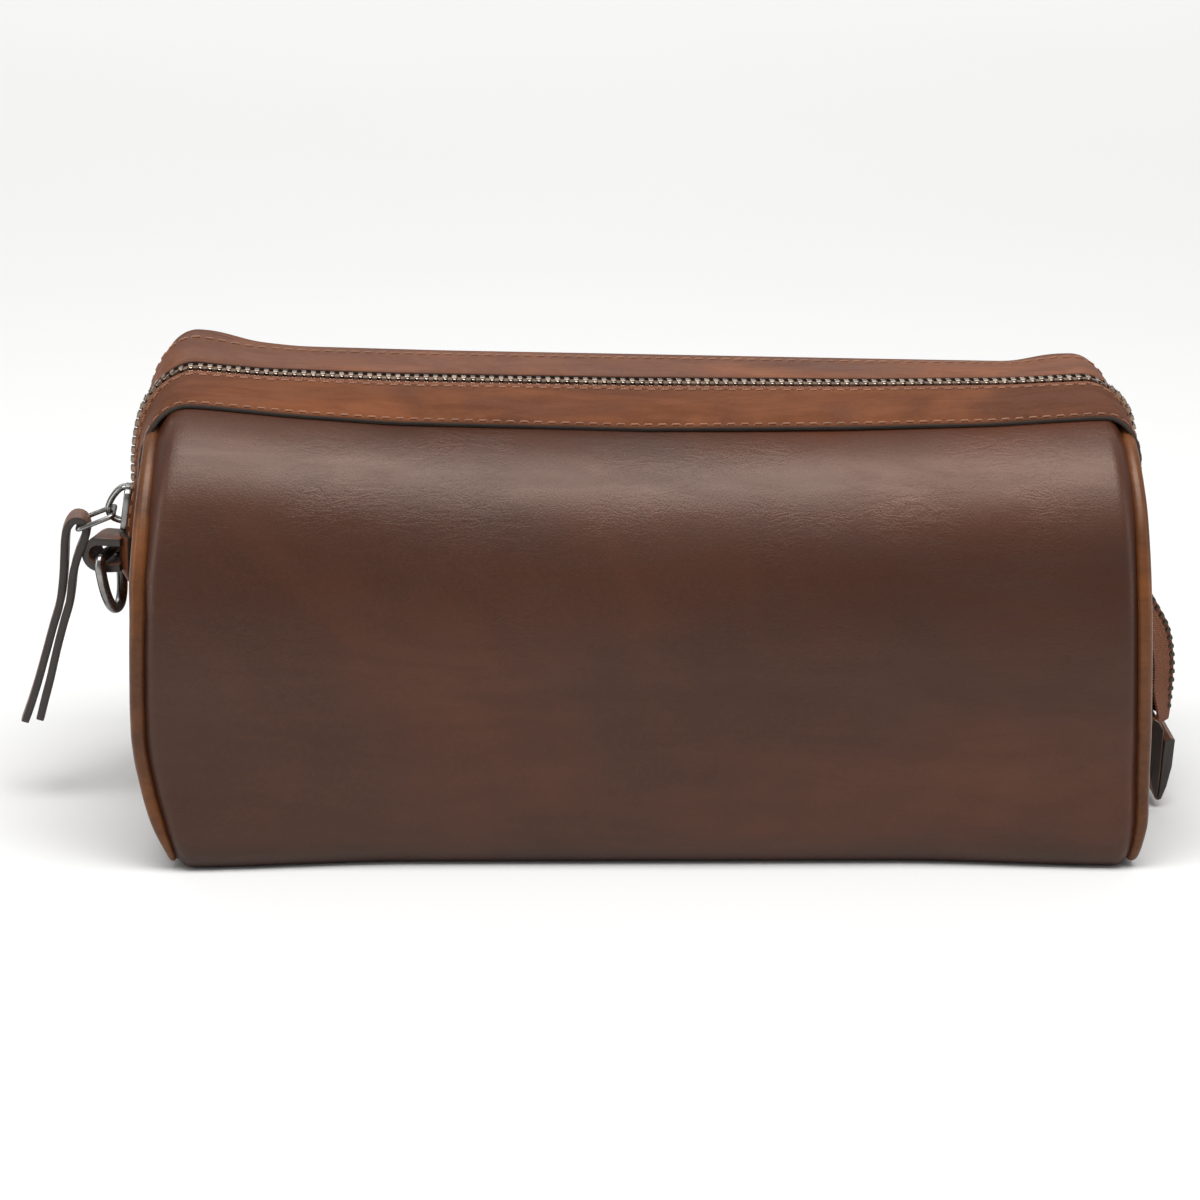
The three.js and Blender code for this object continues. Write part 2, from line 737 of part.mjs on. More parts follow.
function tabGeometry() {
  const bore = ringWire / 2 + clearance;
  const shape = new THREE.Shape();
  const shank = ringOut + tabRadius;
  shape.absarc(0, 0, tabRadius, radians(100), radians(-160), true);
  shape.lineTo(-shank, -0.5);
  shape.lineTo(-shank, tabRadius + 1);
  const hole = new THREE.Path();
  hole.absarc(0, 0, bore, 0, 2 * Math.PI);
  shape.holes.push(hole);
  const folded = plate(shape, tabWidth, ringPlace, outwards, alongZ);
  const patchFace = bandReach + clearance + patchLeather + clearance;
  const behind = block(
    [-patchFace, -ringWidth, ringHeight - ringWidth],
    [-patchFace + 3 * shank, ringWidth, ringHeight + ringWidth],
  );
  return geometryOf(solid(folded).subtract(solid(behind)));
}
add("ring_tab", tabGeometry(), leatherPull);

function ringGeometry() {
  const draw = (path, half, top, centre) => {
    path.moveTo(half, centre);
    path.lineTo(half, top);
    path.lineTo(-half, top);
    path.lineTo(-half, centre);
    path.absarc(0, centre, half, Math.PI, 2 * Math.PI);
    return path;
  };
  const centre = -(ringDrop - ringWidth / 2);
  const shape = draw(new THREE.Shape(), ringWidth / 2, ringWire / 2, centre);
  shape.holes.push(draw(new THREE.Path(), ringWidth / 2 - ringWire, -ringWire / 2, centre));
  return plate(shape, ringWire, ringPlace, rearwards, alongZ, ringWire / 4);
}
add("hanging_ring", ringGeometry(), zipMetal);

// ---------------------------------------------------------------- the zip's tail

// The outer ridge of the tail, from where it leaves the band to its end in the tab: out past the
// band's face, and the share of the way down.
const tailTop = bandFoot - 2.5;
const tailLine = new THREE.CatmullRomCurve3(
  [
    [4.2, 0],
    [6.2, 0.1],
    [9.1, 0.22],
    [12, 0.36],
    [13.6, 0.55],
    [14, 0.74],
    [13.4, 1],
  ].map(
    ([out, down]) =>
      new THREE.Vector3(bandReach + out, 0, lerp(tailTop, tailTabTop + clearance, down)),
  ),
);
const tailChainThickness = 1.8;

function tailSheet(halfWidth, behind, thickness, rows, columns) {
  return sheet(columns, rows, (across, along, through) => {
    const y = halfWidth * (2 * across - 1);
    const ridge = tailLine.getPointAt(along);
    const fold = tailBow * Math.sin(Math.PI * (0.12 + 0.7 * along)) * (Math.abs(y) / tailHalfWidth);
    const bent = along === 0 ? 0 : fold * smoothstep(along, 0, 0.3);
    return [ridge.x - behind - thickness * through - bent, y, ridge.z];
  });
}
const tapeBehind = tailChainThickness + 2 * clearance;
add("tail_tape", tailSheet(tailHalfWidth, tapeBehind, tapeThickness + 0.2, 10, 4), wovenTape);
add("tail_teeth", tailSheet(teethEnd, 0, tailChainThickness, 10, 2), zipMetal);

const tabEnd = tailLine.getPointAt(1);
add(
  "tail_tab",
  sheet(4, 5, (across, along, through) => {
    const z = lerp(tailTabTop, tailTabFoot, along);
    const y = tailTabHalfWidth * (2 * across - 1);
    const thickness = lerp(tailTabThickness, tailTabThickness * 0.55, along);
    const outer = tabEnd.x + lerp(0.6, -1.2, along);
    const bent = tailBow * 0.5 * (1 - along) * (Math.abs(y) / tailHalfWidth);
    return [outer - thickness * through - bent, y, z];
  }),
  leatherPull,
);

export default bag;
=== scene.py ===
"""A leather wash bag, piped at the ends, with a zip band, a leather zip pull and a hanging ring.

Everything is in metres. X runs along the bag, -Y is the front and Z is up. Soft pieces are laid out
as grids of points on the bag's own surfaces, and hard pieces are modelled with the mesh operators.
"""

import json
import math

import bpy
import numpy as np
from mathutils import Matrix, Vector

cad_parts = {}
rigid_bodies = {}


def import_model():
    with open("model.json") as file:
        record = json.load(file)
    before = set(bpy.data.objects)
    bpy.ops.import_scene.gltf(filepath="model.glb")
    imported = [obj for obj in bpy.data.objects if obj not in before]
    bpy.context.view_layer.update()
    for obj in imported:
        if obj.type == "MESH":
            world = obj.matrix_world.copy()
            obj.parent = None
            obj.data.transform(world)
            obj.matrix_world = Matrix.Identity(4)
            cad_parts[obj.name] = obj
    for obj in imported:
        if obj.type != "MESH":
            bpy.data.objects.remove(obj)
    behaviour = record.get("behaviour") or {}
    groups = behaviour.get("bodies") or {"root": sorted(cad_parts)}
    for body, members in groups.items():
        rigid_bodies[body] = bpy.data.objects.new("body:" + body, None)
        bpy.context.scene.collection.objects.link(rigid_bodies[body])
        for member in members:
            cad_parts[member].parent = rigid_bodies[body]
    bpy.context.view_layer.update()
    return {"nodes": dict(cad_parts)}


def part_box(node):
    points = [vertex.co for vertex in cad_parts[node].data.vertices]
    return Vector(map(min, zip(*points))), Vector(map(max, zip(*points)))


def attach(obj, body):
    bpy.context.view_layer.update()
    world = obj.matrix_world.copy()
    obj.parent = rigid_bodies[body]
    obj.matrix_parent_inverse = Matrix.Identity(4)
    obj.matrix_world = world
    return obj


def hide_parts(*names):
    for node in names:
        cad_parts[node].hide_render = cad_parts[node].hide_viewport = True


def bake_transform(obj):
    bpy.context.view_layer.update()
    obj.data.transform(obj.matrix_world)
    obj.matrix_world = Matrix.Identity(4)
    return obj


bl_info = {
    "name": "Leather Wash Bag",
    "version": (1, 0, 0),
    "blender": (4, 5, 0),
    "location": "3D View > Sidebar > Wash Bag",
    "description": "Builds a piped leather wash bag with a zip round its top and ends",
    "category": "Add Mesh",
}

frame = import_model()

ENDS = {"left": -1, "right": 1}
LIPS = {"front": -1, "rear": 1}

# Height of the band's upper face along the bag, at its front edge, its middle and its rear edge.
# It sags between the corners, which stand up as ears.
EDGE_HEIGHTS = {
    -1: (
        (-0.124, 0.1184),
        (-0.117, 0.1183),
        (-0.090, 0.1157),
        (-0.065, 0.1139),
        (0.000, 0.1123),
        (0.052, 0.1129),
        (0.091, 0.1139),
        (0.120, 0.1158),
    ),
    0: (
        (-0.120, 0.1207),
        (-0.100, 0.1190),
        (-0.065, 0.1177),
        (0.000, 0.1167),
        (0.060, 0.1166),
        (0.100, 0.1172),
        (0.120, 0.1183),
    ),
    1: (
        (-0.126, 0.1236),
        (-0.119, 0.1234),
        (-0.105, 0.1202),
        (-0.090, 0.1188),
        (-0.051, 0.1178),
        (0.000, 0.1170),
        (0.059, 0.1160),
        (0.106, 0.1153),
        (0.118, 0.1176),
    ),
}


# How far out each end's seam is at a height above the base: (height, distance).
SEAMS = {
    "left": (
        (0.000, 0.1226),
        (0.005, 0.1238),
        (0.010, 0.1253),
        (0.020, 0.1281),
        (0.029, 0.1300),
        (0.036, 0.1308),
        (0.045, 0.1310),
        (0.060, 0.1309),
        (0.069, 0.1307),
        (0.079, 0.1307),
        (0.095, 0.1293),
        (0.105, 0.1280),
        (0.112, 0.1270),
    ),
    "right": (
        (0.000, 0.1296),
        (0.005, 0.1305),
        (0.012, 0.1310),
        (0.036, 0.1306),
        (0.062, 0.1296),
        (0.080, 0.1290),
        (0.095, 0.1285),
        (0.105, 0.1276),
        (0.112, 0.1268),
    ),
}


# ---------------------------------------------------------------- sizes and colours


def length(name, description, default):
    return bpy.props.FloatProperty(
        name=name, description=description, default=default, unit="LENGTH", precision=4
    )


def colour(name, description, default):
    return bpy.props.FloatVectorProperty(
        name=name, description=description, default=default, subtype="COLOR", size=3, min=0, max=1
    )


class WashBagSizes(bpy.types.PropertyGroup):
    """Sizes of the leather, the seams and the zip."""

    wall: length("Wall leather", "Thickness of the wrap and the ends", 0.0018)
    strip: length("Band leather", "Thickness of the band's strips", 0.0013)
    lining: length("Lining", "Thickness of the lining cloth", 0.0008)
    piping: length("Piping radius", "Radius of the rolled leather at the ends", 0.0022)
    band: length("Band width", "Width over both strips", 0.064)
    slot: length("Mouth slot", "Gap between the strips", 0.0098)
    stitch: length("Stitch pitch", "From one stitch to the next", 0.0036)
    thread: length("Thread radius", "Radius of the sewing thread", 0.00028)
    tooth: length("Tooth pitch", "From one zip tooth to the next on one tape", 0.0025)


class WashBagColours(bpy.types.PropertyGroup):
    """Colours of the leather, the cloth and the metal."""

    wrap_deep: colour("Wrap, deep", "Darkest tone of the wrap", (0.034, 0.0112, 0.0058))
    wrap_warm: colour("Wrap, warm", "Lightest tone of the wrap", (0.072, 0.0205, 0.0090))
    strip_deep: colour("Band, deep", "Darkest tone of the strips", (0.068, 0.021, 0.0085))
    strip_warm: colour("Band, warm", "Lightest tone of the strips", (0.146, 0.044, 0.0125))
    piping_deep: colour("Piping, deep", "Darkest tone of the piping", (0.050, 0.0165, 0.0055))
    piping_warm: colour("Piping, warm", "Lightest tone of the piping", (0.150, 0.050, 0.0135))
    pull_deep: colour("Pull, deep", "Darkest tone of the pull", (0.060, 0.026, 0.017))
    pull_warm: colour("Pull, warm", "Lightest tone of the pull", (0.190, 0.070, 0.030))
    edge: colour("Painted edge", "Paint on the cut edges", (0.018, 0.0135, 0.011))
    thread: colour("Thread", "Sewing thread", (0.225, 0.086, 0.033))
    tape: colour("Zip tape", "Woven tape of the zip", (0.215, 0.070, 0.028))
    lining: colour("Lining", "Lining cloth", (0.250, 0.180, 0.110))
    teeth: colour("Zip teeth", "Metal of the teeth", (0.370, 0.285, 0.215))
    metal: colour("Fittings", "Metal of the slider and rings", (0.300, 0.290, 0.280))


def sizes():
    return bpy.context.scene.wash_bag_sizes


def colours():
    return bpy.context.scene.wash_bag_colours


# ---------------------------------------------------------------- the bag's own surfaces


def smooth(t):
    t = np.clip(t, 0, 1)
    return t * t * (3 - 2 * t)


def section_outline():
    """One wall's outline from the middle of the base to its upper edge, evenly spaced: (y, z), and
    the outward normal at each point."""
    flat, depth, waist, edge, top = 0.050, 0.061, 0.048, 0.029, 0.1115
    y0 = np.linspace(0, flat, 60, endpoint=False)
    a = np.linspace(0, math.pi / 2, 300, endpoint=False)
    y1 = flat + (depth - flat) * np.sin(a) ** (2 / 3)
    z1 = waist * (1 - np.cos(a) ** (2 / 3))
    stop = math.acos((edge / depth) ** 1.25)
    b = np.linspace(0, stop, 300)
    y2 = depth * np.cos(b) ** 0.8
    z2 = waist + (top - waist) * (np.sin(b) / math.sin(stop)) ** 0.8
    points = np.stack([np.r_[y0, y1, y2], np.r_[0 * y0, z1, z2]], 1)
    steps = np.r_[0, np.cumsum(np.linalg.norm(np.diff(points, axis=0), axis=1))]
    even = np.linspace(0, steps[-1], 800)
    points = np.stack([np.interp(even, steps, points[:, i]) for i in (0, 1)], 1)
    along = np.gradient(points, axis=0)
    kernel = np.hanning(25) / np.hanning(25).sum()
    along = np.stack([np.convolve(np.pad(c, 12, "edge"), kernel, "valid") for c in along.T], 1)
    along /= np.linalg.norm(along, axis=1, keepdims=True)
    return points, np.stack([along[:, 1], -along[:, 0]], 1), steps[-1]


SECTION, SECTION_NORMAL, SECTION_LENGTH = section_outline()


def section(share, inset):
    """Point (y, z) of one wall at a share of its length, moved in by an inset."""
    where = np.clip(share, 0, 1) * (len(SECTION) - 1)
    index = np.arange(len(SECTION))
    y, z = (
        np.interp(where, index, SECTION[:, i]) - inset * np.interp(where, index, SECTION_NORMAL[:, i])
        for i in (0, 1)
    )
    return y, z


def share_at(height, inset):
    """Share of the wall's length at a height above the base, for points moved in by an inset."""
    share = np.linspace(0.22, 1, 1200)
    return np.interp(height, section(share, inset)[1], share)


def edge_height(x, row):
    table = np.array(EDGE_HEIGHTS[row])
    fine = np.linspace(-0.14, 0.14, 281)
    heights = np.convolve(
        np.pad(np.interp(fine, table[:, 0], table[:, 1]), 7, "edge"),
        np.hanning(15) / np.hanning(15).sum(),
        "valid",
    )
    return np.interp(x, fine, heights)


def band_top(x, y):
    """Height of the band's upper face."""
    front, middle, rear = (edge_height(x, row) for row in (-1, 0, 1))
    t = y / (sizes().band / 2)
    return middle + (rear - front) / 2 * t + ((rear + front) / 2 - middle) * t * t


def seam_x(side, z):
    """How far out the middle line of one end's piping is. The bag leans a little to the right."""
    table = np.array(SEAMS["left" if side < 0 else "right"])
    fine = np.linspace(-0.01, 0.13, 281)
    line = np.interp(fine, table[:, 0], table[:, 1])
    kernel = np.hanning(13) / np.hanning(13).sum()
    return np.interp(z, fine, np.convolve(np.pad(line, 6, "edge"), kernel, "valid"))


def soft(x, z, phase):
    """A slow, shallow unevenness of hand-made leather, from -1 to 1."""
    return (
        0.45 * np.sin(38 * x + 21 * z + phase)
        + 0.30 * np.sin(71 * x - 44 * z + 2.1 * phase)
        + 0.25 * np.sin(27 * x + 93 * z + 0.7 * phase)
    )


def under_strip(face, x):
    """How far a wall's upper edge is lifted to stay just under the strip."""
    along, height = strip_edge(face)
    keep = height > 0.100
    return np.interp(x, along[keep], height[keep]) - sizes().strip - 0.1105


def flare(along, z):
    """How far the foot of the wrap is pushed out across the bag by the stiff seams."""
    return 0.0045 * smooth((np.abs(along) - 0.5) / 0.5) * (1 - smooth(z / 0.030))


def wall_point(face, along, share, inset):
    """A point of the wrap. along runs from -1 to 1 over the bag, share from 0 to 1 up one wall."""
    y, z = section(share, inset)
    reach = np.where(along < 0, seam_x(-1, z), seam_x(1, z)) - 0.0008
    x = along * reach
    from_end = reach - np.abs(x)
    tuck = 0.0026 * (1 - smooth(from_end / 0.0050)) ** 1.6
    y, z = section(share, inset + tuck)
    z = z + under_strip(face, x) * smooth((z - 0.058) / 0.054)
    bulge = 0.0006 * soft(x, z, 1.3 + face) * smooth(from_end / 0.03) * smooth(z / 0.03)
    hollow = 0.0010 * smooth((z - 0.02) / 0.03) * smooth((0.11 - z) / 0.03) * (1 - (x / 0.13) ** 2)
    return np.stack([x, face * (y + flare(along, z) * smooth(share * 12) + bulge - hollow * 0.6), z], -1)


def end_point(side, y, z, inset, edge):
    """A point of an end panel, y across the bag, between piping that is edge wide on the section."""
    deep, _ = section(share_at(z, edge), edge)
    t = np.clip(np.abs(y) / deep, 0, 1)
    swell = 0.0009 * smooth(z / 0.04) * (1 - t**2)
    # Low down, the left panel puffs out past its seam.
    puff = 0.0030 * (side < 0) * np.exp(-(((z - 0.012) / 0.011) ** 2)) * (1 - t**6)
    tuck = 0.0016 * smooth((t - 0.9) / 0.1)
    y = y * (1 + flare(1.0, z) / deep)
    return np.stack([side * (seam_x(side, z) + swell + puff - tuck - inset), y, z], -1)


def band_ridge(turn):
    """How far the zip stands out of the strips: it lies flat on top and stands up round the ends."""
    return smooth((turn - 0.25) / 0.9)


def band_line(y, lift, low, count=None, step=None):
    """Points along the band from one end's foot to the other's, with normals and distances.

    lift is the height above the strips' face on the top and at the ends. low is the height of the
    foot at the left and the right end. Each corner is a quarter of an ellipse, tighter at the
    band's edges.
    """
    t = y / (sizes().band / 2)
    top = float(band_top(0.0, y))
    reach = 0.1324 - 0.0003 * t * t
    bend = np.linspace(math.pi / 2, 0, 80)
    rear = max(0.0, t) ** 2
    left_wide, left_deep = 0.0155 - 0.0035 * t * t - 0.002 * rear, 0.023 - 0.010 * t * t
    right_wide, right_deep = 0.0125 - 0.0035 * t * t, 0.018 - 0.0075 * t * t
    x = np.r_[
        np.full(80, -reach),
        -(reach - left_wide) - left_wide * np.sin(bend),
        np.linspace(-(reach - left_wide), reach - right_wide, 240)[1:-1],
        (reach - right_wide) + right_wide * np.sin(bend[::-1]),
        np.full(80, reach),
    ]
    z = np.r_[
        np.linspace(low[0], top - left_deep, 81)[:-1],
        top - left_deep + left_deep * np.cos(bend),
        np.full(238, top),
        top - right_deep + right_deep * np.cos(bend[::-1]),
        np.linspace(top - right_deep, low[1], 81)[1:],
    ]
    turn = np.r_[np.full(80, math.pi / 2), bend, np.zeros(238), bend[::-1], np.full(80, math.pi / 2)]
    rise = band_top(x, y) - top
    z = z + rise * smooth((z - 0.088) / 0.026)
    lean = (0.0020 + 0.0026 * rear * (x < 0)) * np.clip((z - 0.062) / 0.055, 0, 1) ** 2 * t * t
    x = x - np.sign(x) * lean * smooth((np.abs(x) - 0.09) / 0.03)
    normal = np.stack([-np.gradient(z), 0 * x, np.gradient(x)], 1)
    normal /= np.linalg.norm(normal, axis=1, keepdims=True)
    ridge = band_ridge(turn)
    height = lift[0] * (1 - ridge) + lift[1] * ridge
    points = np.stack([x, np.full_like(x, y), z], 1) + normal * height[:, None]
    steps = np.r_[0, np.cumsum(np.linalg.norm(np.diff(points, axis=0), axis=1))]
    if count is None:
        count = int(steps[-1] / step) + 1
        even = np.arange(count) * step + (steps[-1] - (count - 1) * step) / 2
    else:
        even = np.linspace(0, steps[-1], count)
    pick = lambda v: np.stack([np.interp(even, steps, v[:, i]) for i in range(3)], 1)
    normal = pick(normal)
    return pick(points), normal / np.linalg.norm(normal, axis=1, keepdims=True), even


def part_round_slider(points):
    """The strips' inner edges are pushed out beside the slider at the left end."""
    x, y, z = np.moveaxis(points, -1, 0)
    near = np.clip(1 - (np.abs(y) - sizes().slot / 2) / 0.012, 0, 1) ** 2
    out = 0.0028 * np.exp(-(((z - 0.0775) / 0.0105) ** 2)) * near * (x < -0.12)
    return np.stack([x - out, y, z], -1)


def strip_edge(face):
    """The strip's outer edge as x and height, running from the left to the right."""
    points = band_line(face * sizes().band / 2, (0, 0), (0.066, 0.066), 900)[0]
    return points[:, 0], points[:, 2]


def band_grid(rows, low, count=420):
    """Points of a sheet on the band, from rows of (y, lift on top, lift at the ends)."""
    lines = [band_line(y, (top, end), low, count) for y, top, end in rows]
    points = np.stack([line[0] for line in lines], 1)
    u = np.stack([line[2] for line in lines], 1)
    v = np.broadcast_to(np.abs([row[0] for row in rows]), u.shape)
    return points, np.stack([u, v], -1)


# ---------------------------------------------------------------- mesh helpers


def fresh(name, vertices, faces, uv=None):
    """A new object from points and faces, with a UV map if one is given for each point."""
    mesh = bpy.data.meshes.new(name)
    mesh.from_pydata([tuple(v) for v in vertices], [], [tuple(f) for f in faces])
    if uv is not None:
        layer = mesh.uv_layers.new(name="UVMap")
        index = np.empty(len(mesh.loops), np.int32)
        mesh.loops.foreach_get("vertex_index", index)
        layer.data.foreach_set("uv", np.asarray(uv, float)[index].ravel())
    piece = bpy.data.objects.new(name, mesh)
    bpy.context.scene.collection.objects.link(piece)
    return piece


def only(piece):
    """Selects one object and makes it active."""
    for other in bpy.context.view_layer.objects:
        other.select_set(False)
    piece.select_set(True)
    bpy.context.view_layer.objects.active = piece
    return piece


def apply_all(piece):
    only(piece)
    for modifier in list(piece.modifiers):
        bpy.ops.object.modifier_apply(modifier=modifier.name)
    return piece


def settle(piece):
    """Puts a piece's place into its mesh, with its object at the origin."""
    only(piece)
    bpy.ops.object.transform_apply(location=True, rotation=True, scale=True)
    return piece


def dress(piece, *materials):
    piece.data.materials.clear()
    for material in materials:
        piece.data.materials.append(material)
    return piece


def sheet_piece(name, points, uv, thickness, outward, face, edge=None, bevel=0.0):
    """A sheet of leather or cloth: a grid of points on its outer face, given a thickness inwards.

    face and edge are the materials of its faces and of its cut edges. outward is a rough outward
    direction for each point, or one for all.
    """
    rows, columns = points.shape[:2]
    index = np.arange(rows * columns).reshape(rows, columns)
    a, b = index[:-1, :-1].ravel(), index[1:, :-1].ravel()
    c, d = index[1:, 1:].ravel(), index[:-1, 1:].ravel()
    flat = points.reshape(-1, 3)
    normal = np.cross(flat[b] - flat[a], flat[d] - flat[a])
    guide = np.broadcast_to(outward, points.shape).reshape(-1, 3)[a]
    faces = np.stack([a, b, c, d], 1)
    if (normal * guide).sum() < 0:
        faces = faces[:, ::-1]
    piece = fresh(name, flat, faces, uv.reshape(-1, 2))
    dress(piece, material(face), material(edge or face))
    skin = piece.modifiers.new("Thickness", "SOLIDIFY")
    skin.thickness = thickness
    skin.offset = -1
    skin.material_offset_rim = 1
    if bevel:
        edge = piece.modifiers.new("Edge", "BEVEL")
        edge.width = bevel
        edge.segments = 2
        edge.limit_method = "ANGLE"
        edge.angle_limit = math.radians(50)
    apply_all(piece)
    bpy.ops.object.shade_smooth_by_angle(angle=math.radians(40))
    return piece


def tube_piece(name, points, radius, sides=14, caps=True):
    """A round tube along points, with domed ends. Its UV map runs along and round it."""
    along = np.gradient(points, axis=0)
    along /= np.linalg.norm(along, axis=1, keepdims=True)
    across = np.zeros_like(along)
    start = np.cross(along[0], (1.0, 0.3, 0.2))
    for i, direction in enumerate(along):
        start = start - direction * start.dot(direction)
        start /= np.linalg.norm(start)
        across[i] = start
    up = np.cross(along, across)
    radii = np.full(len(points), 1.0) * radius
    if caps:
        ends = []
        for end, sign in ((0, -1), (-1, 1)):
            size = radii[end]
            ends.append(
                [
                    (points[end] + sign * along[end] * size * math.sin(a), size * math.cos(a))
                    for a in (0.6, 1.1, 1.45)
                ]
            )
        points = np.vstack([[p for p, _ in ends[0]][::-1], points, [p for p, _ in ends[1]]])
        radii = np.r_[[r for _, r in ends[0]][::-1], radii, [r for _, r in ends[1]]]
        across = np.vstack([across[:1]] * 3 + [across] + [across[-1:]] * 3)
        up = np.vstack([up[:1]] * 3 + [up] + [up[-1:]] * 3)
    angle = np.linspace(0, 2 * math.pi, sides, endpoint=False)
    ring = (
        across[:, None] * np.cos(angle)[None, :, None] + up[:, None] * np.sin(angle)[None, :, None]
    )
    vertices = (points[:, None] + ring * radii[:, None, None]).reshape(-1, 3)
    count = len(points)
    faces = []
    for i in range(count - 1):
        for j in range(sides):
            k = (j + 1) % sides
            faces.append((i * sides + j, i * sides + k, (i + 1) * sides + k, (i + 1) * sides + j))
    faces.append(tuple(range(sides))[::-1])
    faces.append(tuple((count - 1) * sides + j for j in range(sides)))
    steps = np.r_[0, np.cumsum(np.linalg.norm(np.diff(points, axis=0), axis=1))]
    uv = np.stack(
        [np.repeat(steps, sides), np.tile(angle, count) * radii.max()], 1
    )
    piece = fresh(name, vertices, faces, uv)
    outwards_only(piece)
    only(piece)
    bpy.ops.object.shade_smooth_by_angle(angle=math.radians(40))
    return piece


def outwards_only(piece):
    only(piece)
    bpy.ops.object.mode_set(mode="EDIT")
    bpy.ops.mesh.select_all(action="SELECT")
    bpy.ops.mesh.normals_make_consistent(inside=False)
    bpy.ops.object.mode_set(mode="OBJECT")
    return piece


def copies_piece(name, template, places, along, across, up, angle=40):
    """One mesh of many copies of a template, each turned to its own directions at its own place."""
    local = np.array([v.co for v in template.data.vertices])
    faces = [tuple(p.vertices) for p in template.data.polygons]
    vertices = (
        places[:, None]
        + local[None, :, :1] * along[:, None]
        + local[None, :, 1:2] * across[:, None]
        + local[None, :, 2:] * up[:, None]
    ).reshape(-1, 3)
    count = len(local)
    every = [tuple(i + n * count for i in f) for n in range(len(places)) for f in faces]
    piece = fresh(name, vertices, every)
    outwards_only(piece)
    only(piece)
    bpy.ops.object.shade_smooth_by_angle(angle=math.radians(angle))
    return piece


def discard(piece):
    bpy.data.objects.remove(piece, do_unlink=True)


# ---------------------------------------------------------------- materials


class Look:
    """A small helper for making a material's nodes."""

    def __init__(self, name):
        self.material = bpy.data.materials.new(name)
        self.material.use_nodes = True
        self.tree = self.material.node_tree
        self.shader = self.tree.nodes["Principled BSDF"]

    def node(self, kind, inputs=None, **settings):
        made = self.tree.nodes.new(kind)
        for key, value in settings.items():
            setattr(made, key, value)
        for key, value in (inputs or {}).items():
            socket = made.inputs[key]
            if isinstance(value, bpy.types.NodeSocket):
                self.tree.links.new(value, socket)
            else:
                socket.default_value = value
        return made

    def where(self, kind="Object", scale=(1, 1, 1), turn=(0, 0, 0)):
        source = self.node("ShaderNodeTexCoord").outputs[kind]
        return self.node(
            "ShaderNodeMapping", {"Vector": source, "Scale": scale, "Rotation": turn}
        ).outputs["Vector"]

    def noise(self, vector, scale, detail=3.0, roughness=0.55, distortion=0.0):
        return self.node(
            "ShaderNodeTexNoise",
            {
                "Vector": vector,
                "Scale": scale,
                "Detail": detail,
                "Roughness": roughness,
                "Distortion": distortion,
            },
        ).outputs["Fac"]

    def cells(self, vector, scale, feature="DISTANCE_TO_EDGE"):
        return self.node(
            "ShaderNodeTexVoronoi", {"Vector": vector, "Scale": scale}, feature=feature
        ).outputs["Distance"]

    def math(self, operation, a, b=0.0, c=0.0):
        return self.node("ShaderNodeMath", {0: a, 1: b, 2: c}, operation=operation).outputs[0]

    def span(self, value, low, high, to_low=0.0, to_high=1.0):
        return self.node(
            "ShaderNodeMapRange",
            {"Value": value, 1: low, 2: high, 3: to_low, 4: to_high},
            interpolation_type="SMOOTHSTEP",
        ).outputs[0]

    def blend(self, factor, a, b, mode="MIX"):
        pad = lambda v: (*v, 1.0) if isinstance(v, (tuple, list)) and len(v) == 3 else v
        made = self.node("ShaderNodeMix", data_type="RGBA", blend_type=mode)
        for key, value in ((0, factor), (6, pad(a)), (7, pad(b))):
            if isinstance(value, bpy.types.NodeSocket):
                self.tree.links.new(value, made.inputs[key])
            else:
                made.inputs[key].default_value = value
        return made.outputs[2]

    def bump(self, height, strength, distance, under=None):
        inputs = {"Height": height, "Strength": strength, "Distance": distance}
        if under is not None:
            inputs["Normal"] = under
        return self.node("ShaderNodeBump", inputs).outputs["Normal"]

    def finish(self, colour, roughness, normal=None, **fixed):
        for key, value in (("Base Color", colour), ("Roughness", roughness), ("Normal", normal)):
            if value is None:
                continue
            if isinstance(value, bpy.types.NodeSocket):
                self.tree.links.new(value, self.shader.inputs[key])
            else:
                if key == "Base Color":
                    value = (*value, 1.0)
                self.shader.inputs[key].default_value = value
        for key, value in fixed.items():
            self.shader.inputs[key.replace("_", " ")].default_value = value
        return self.material


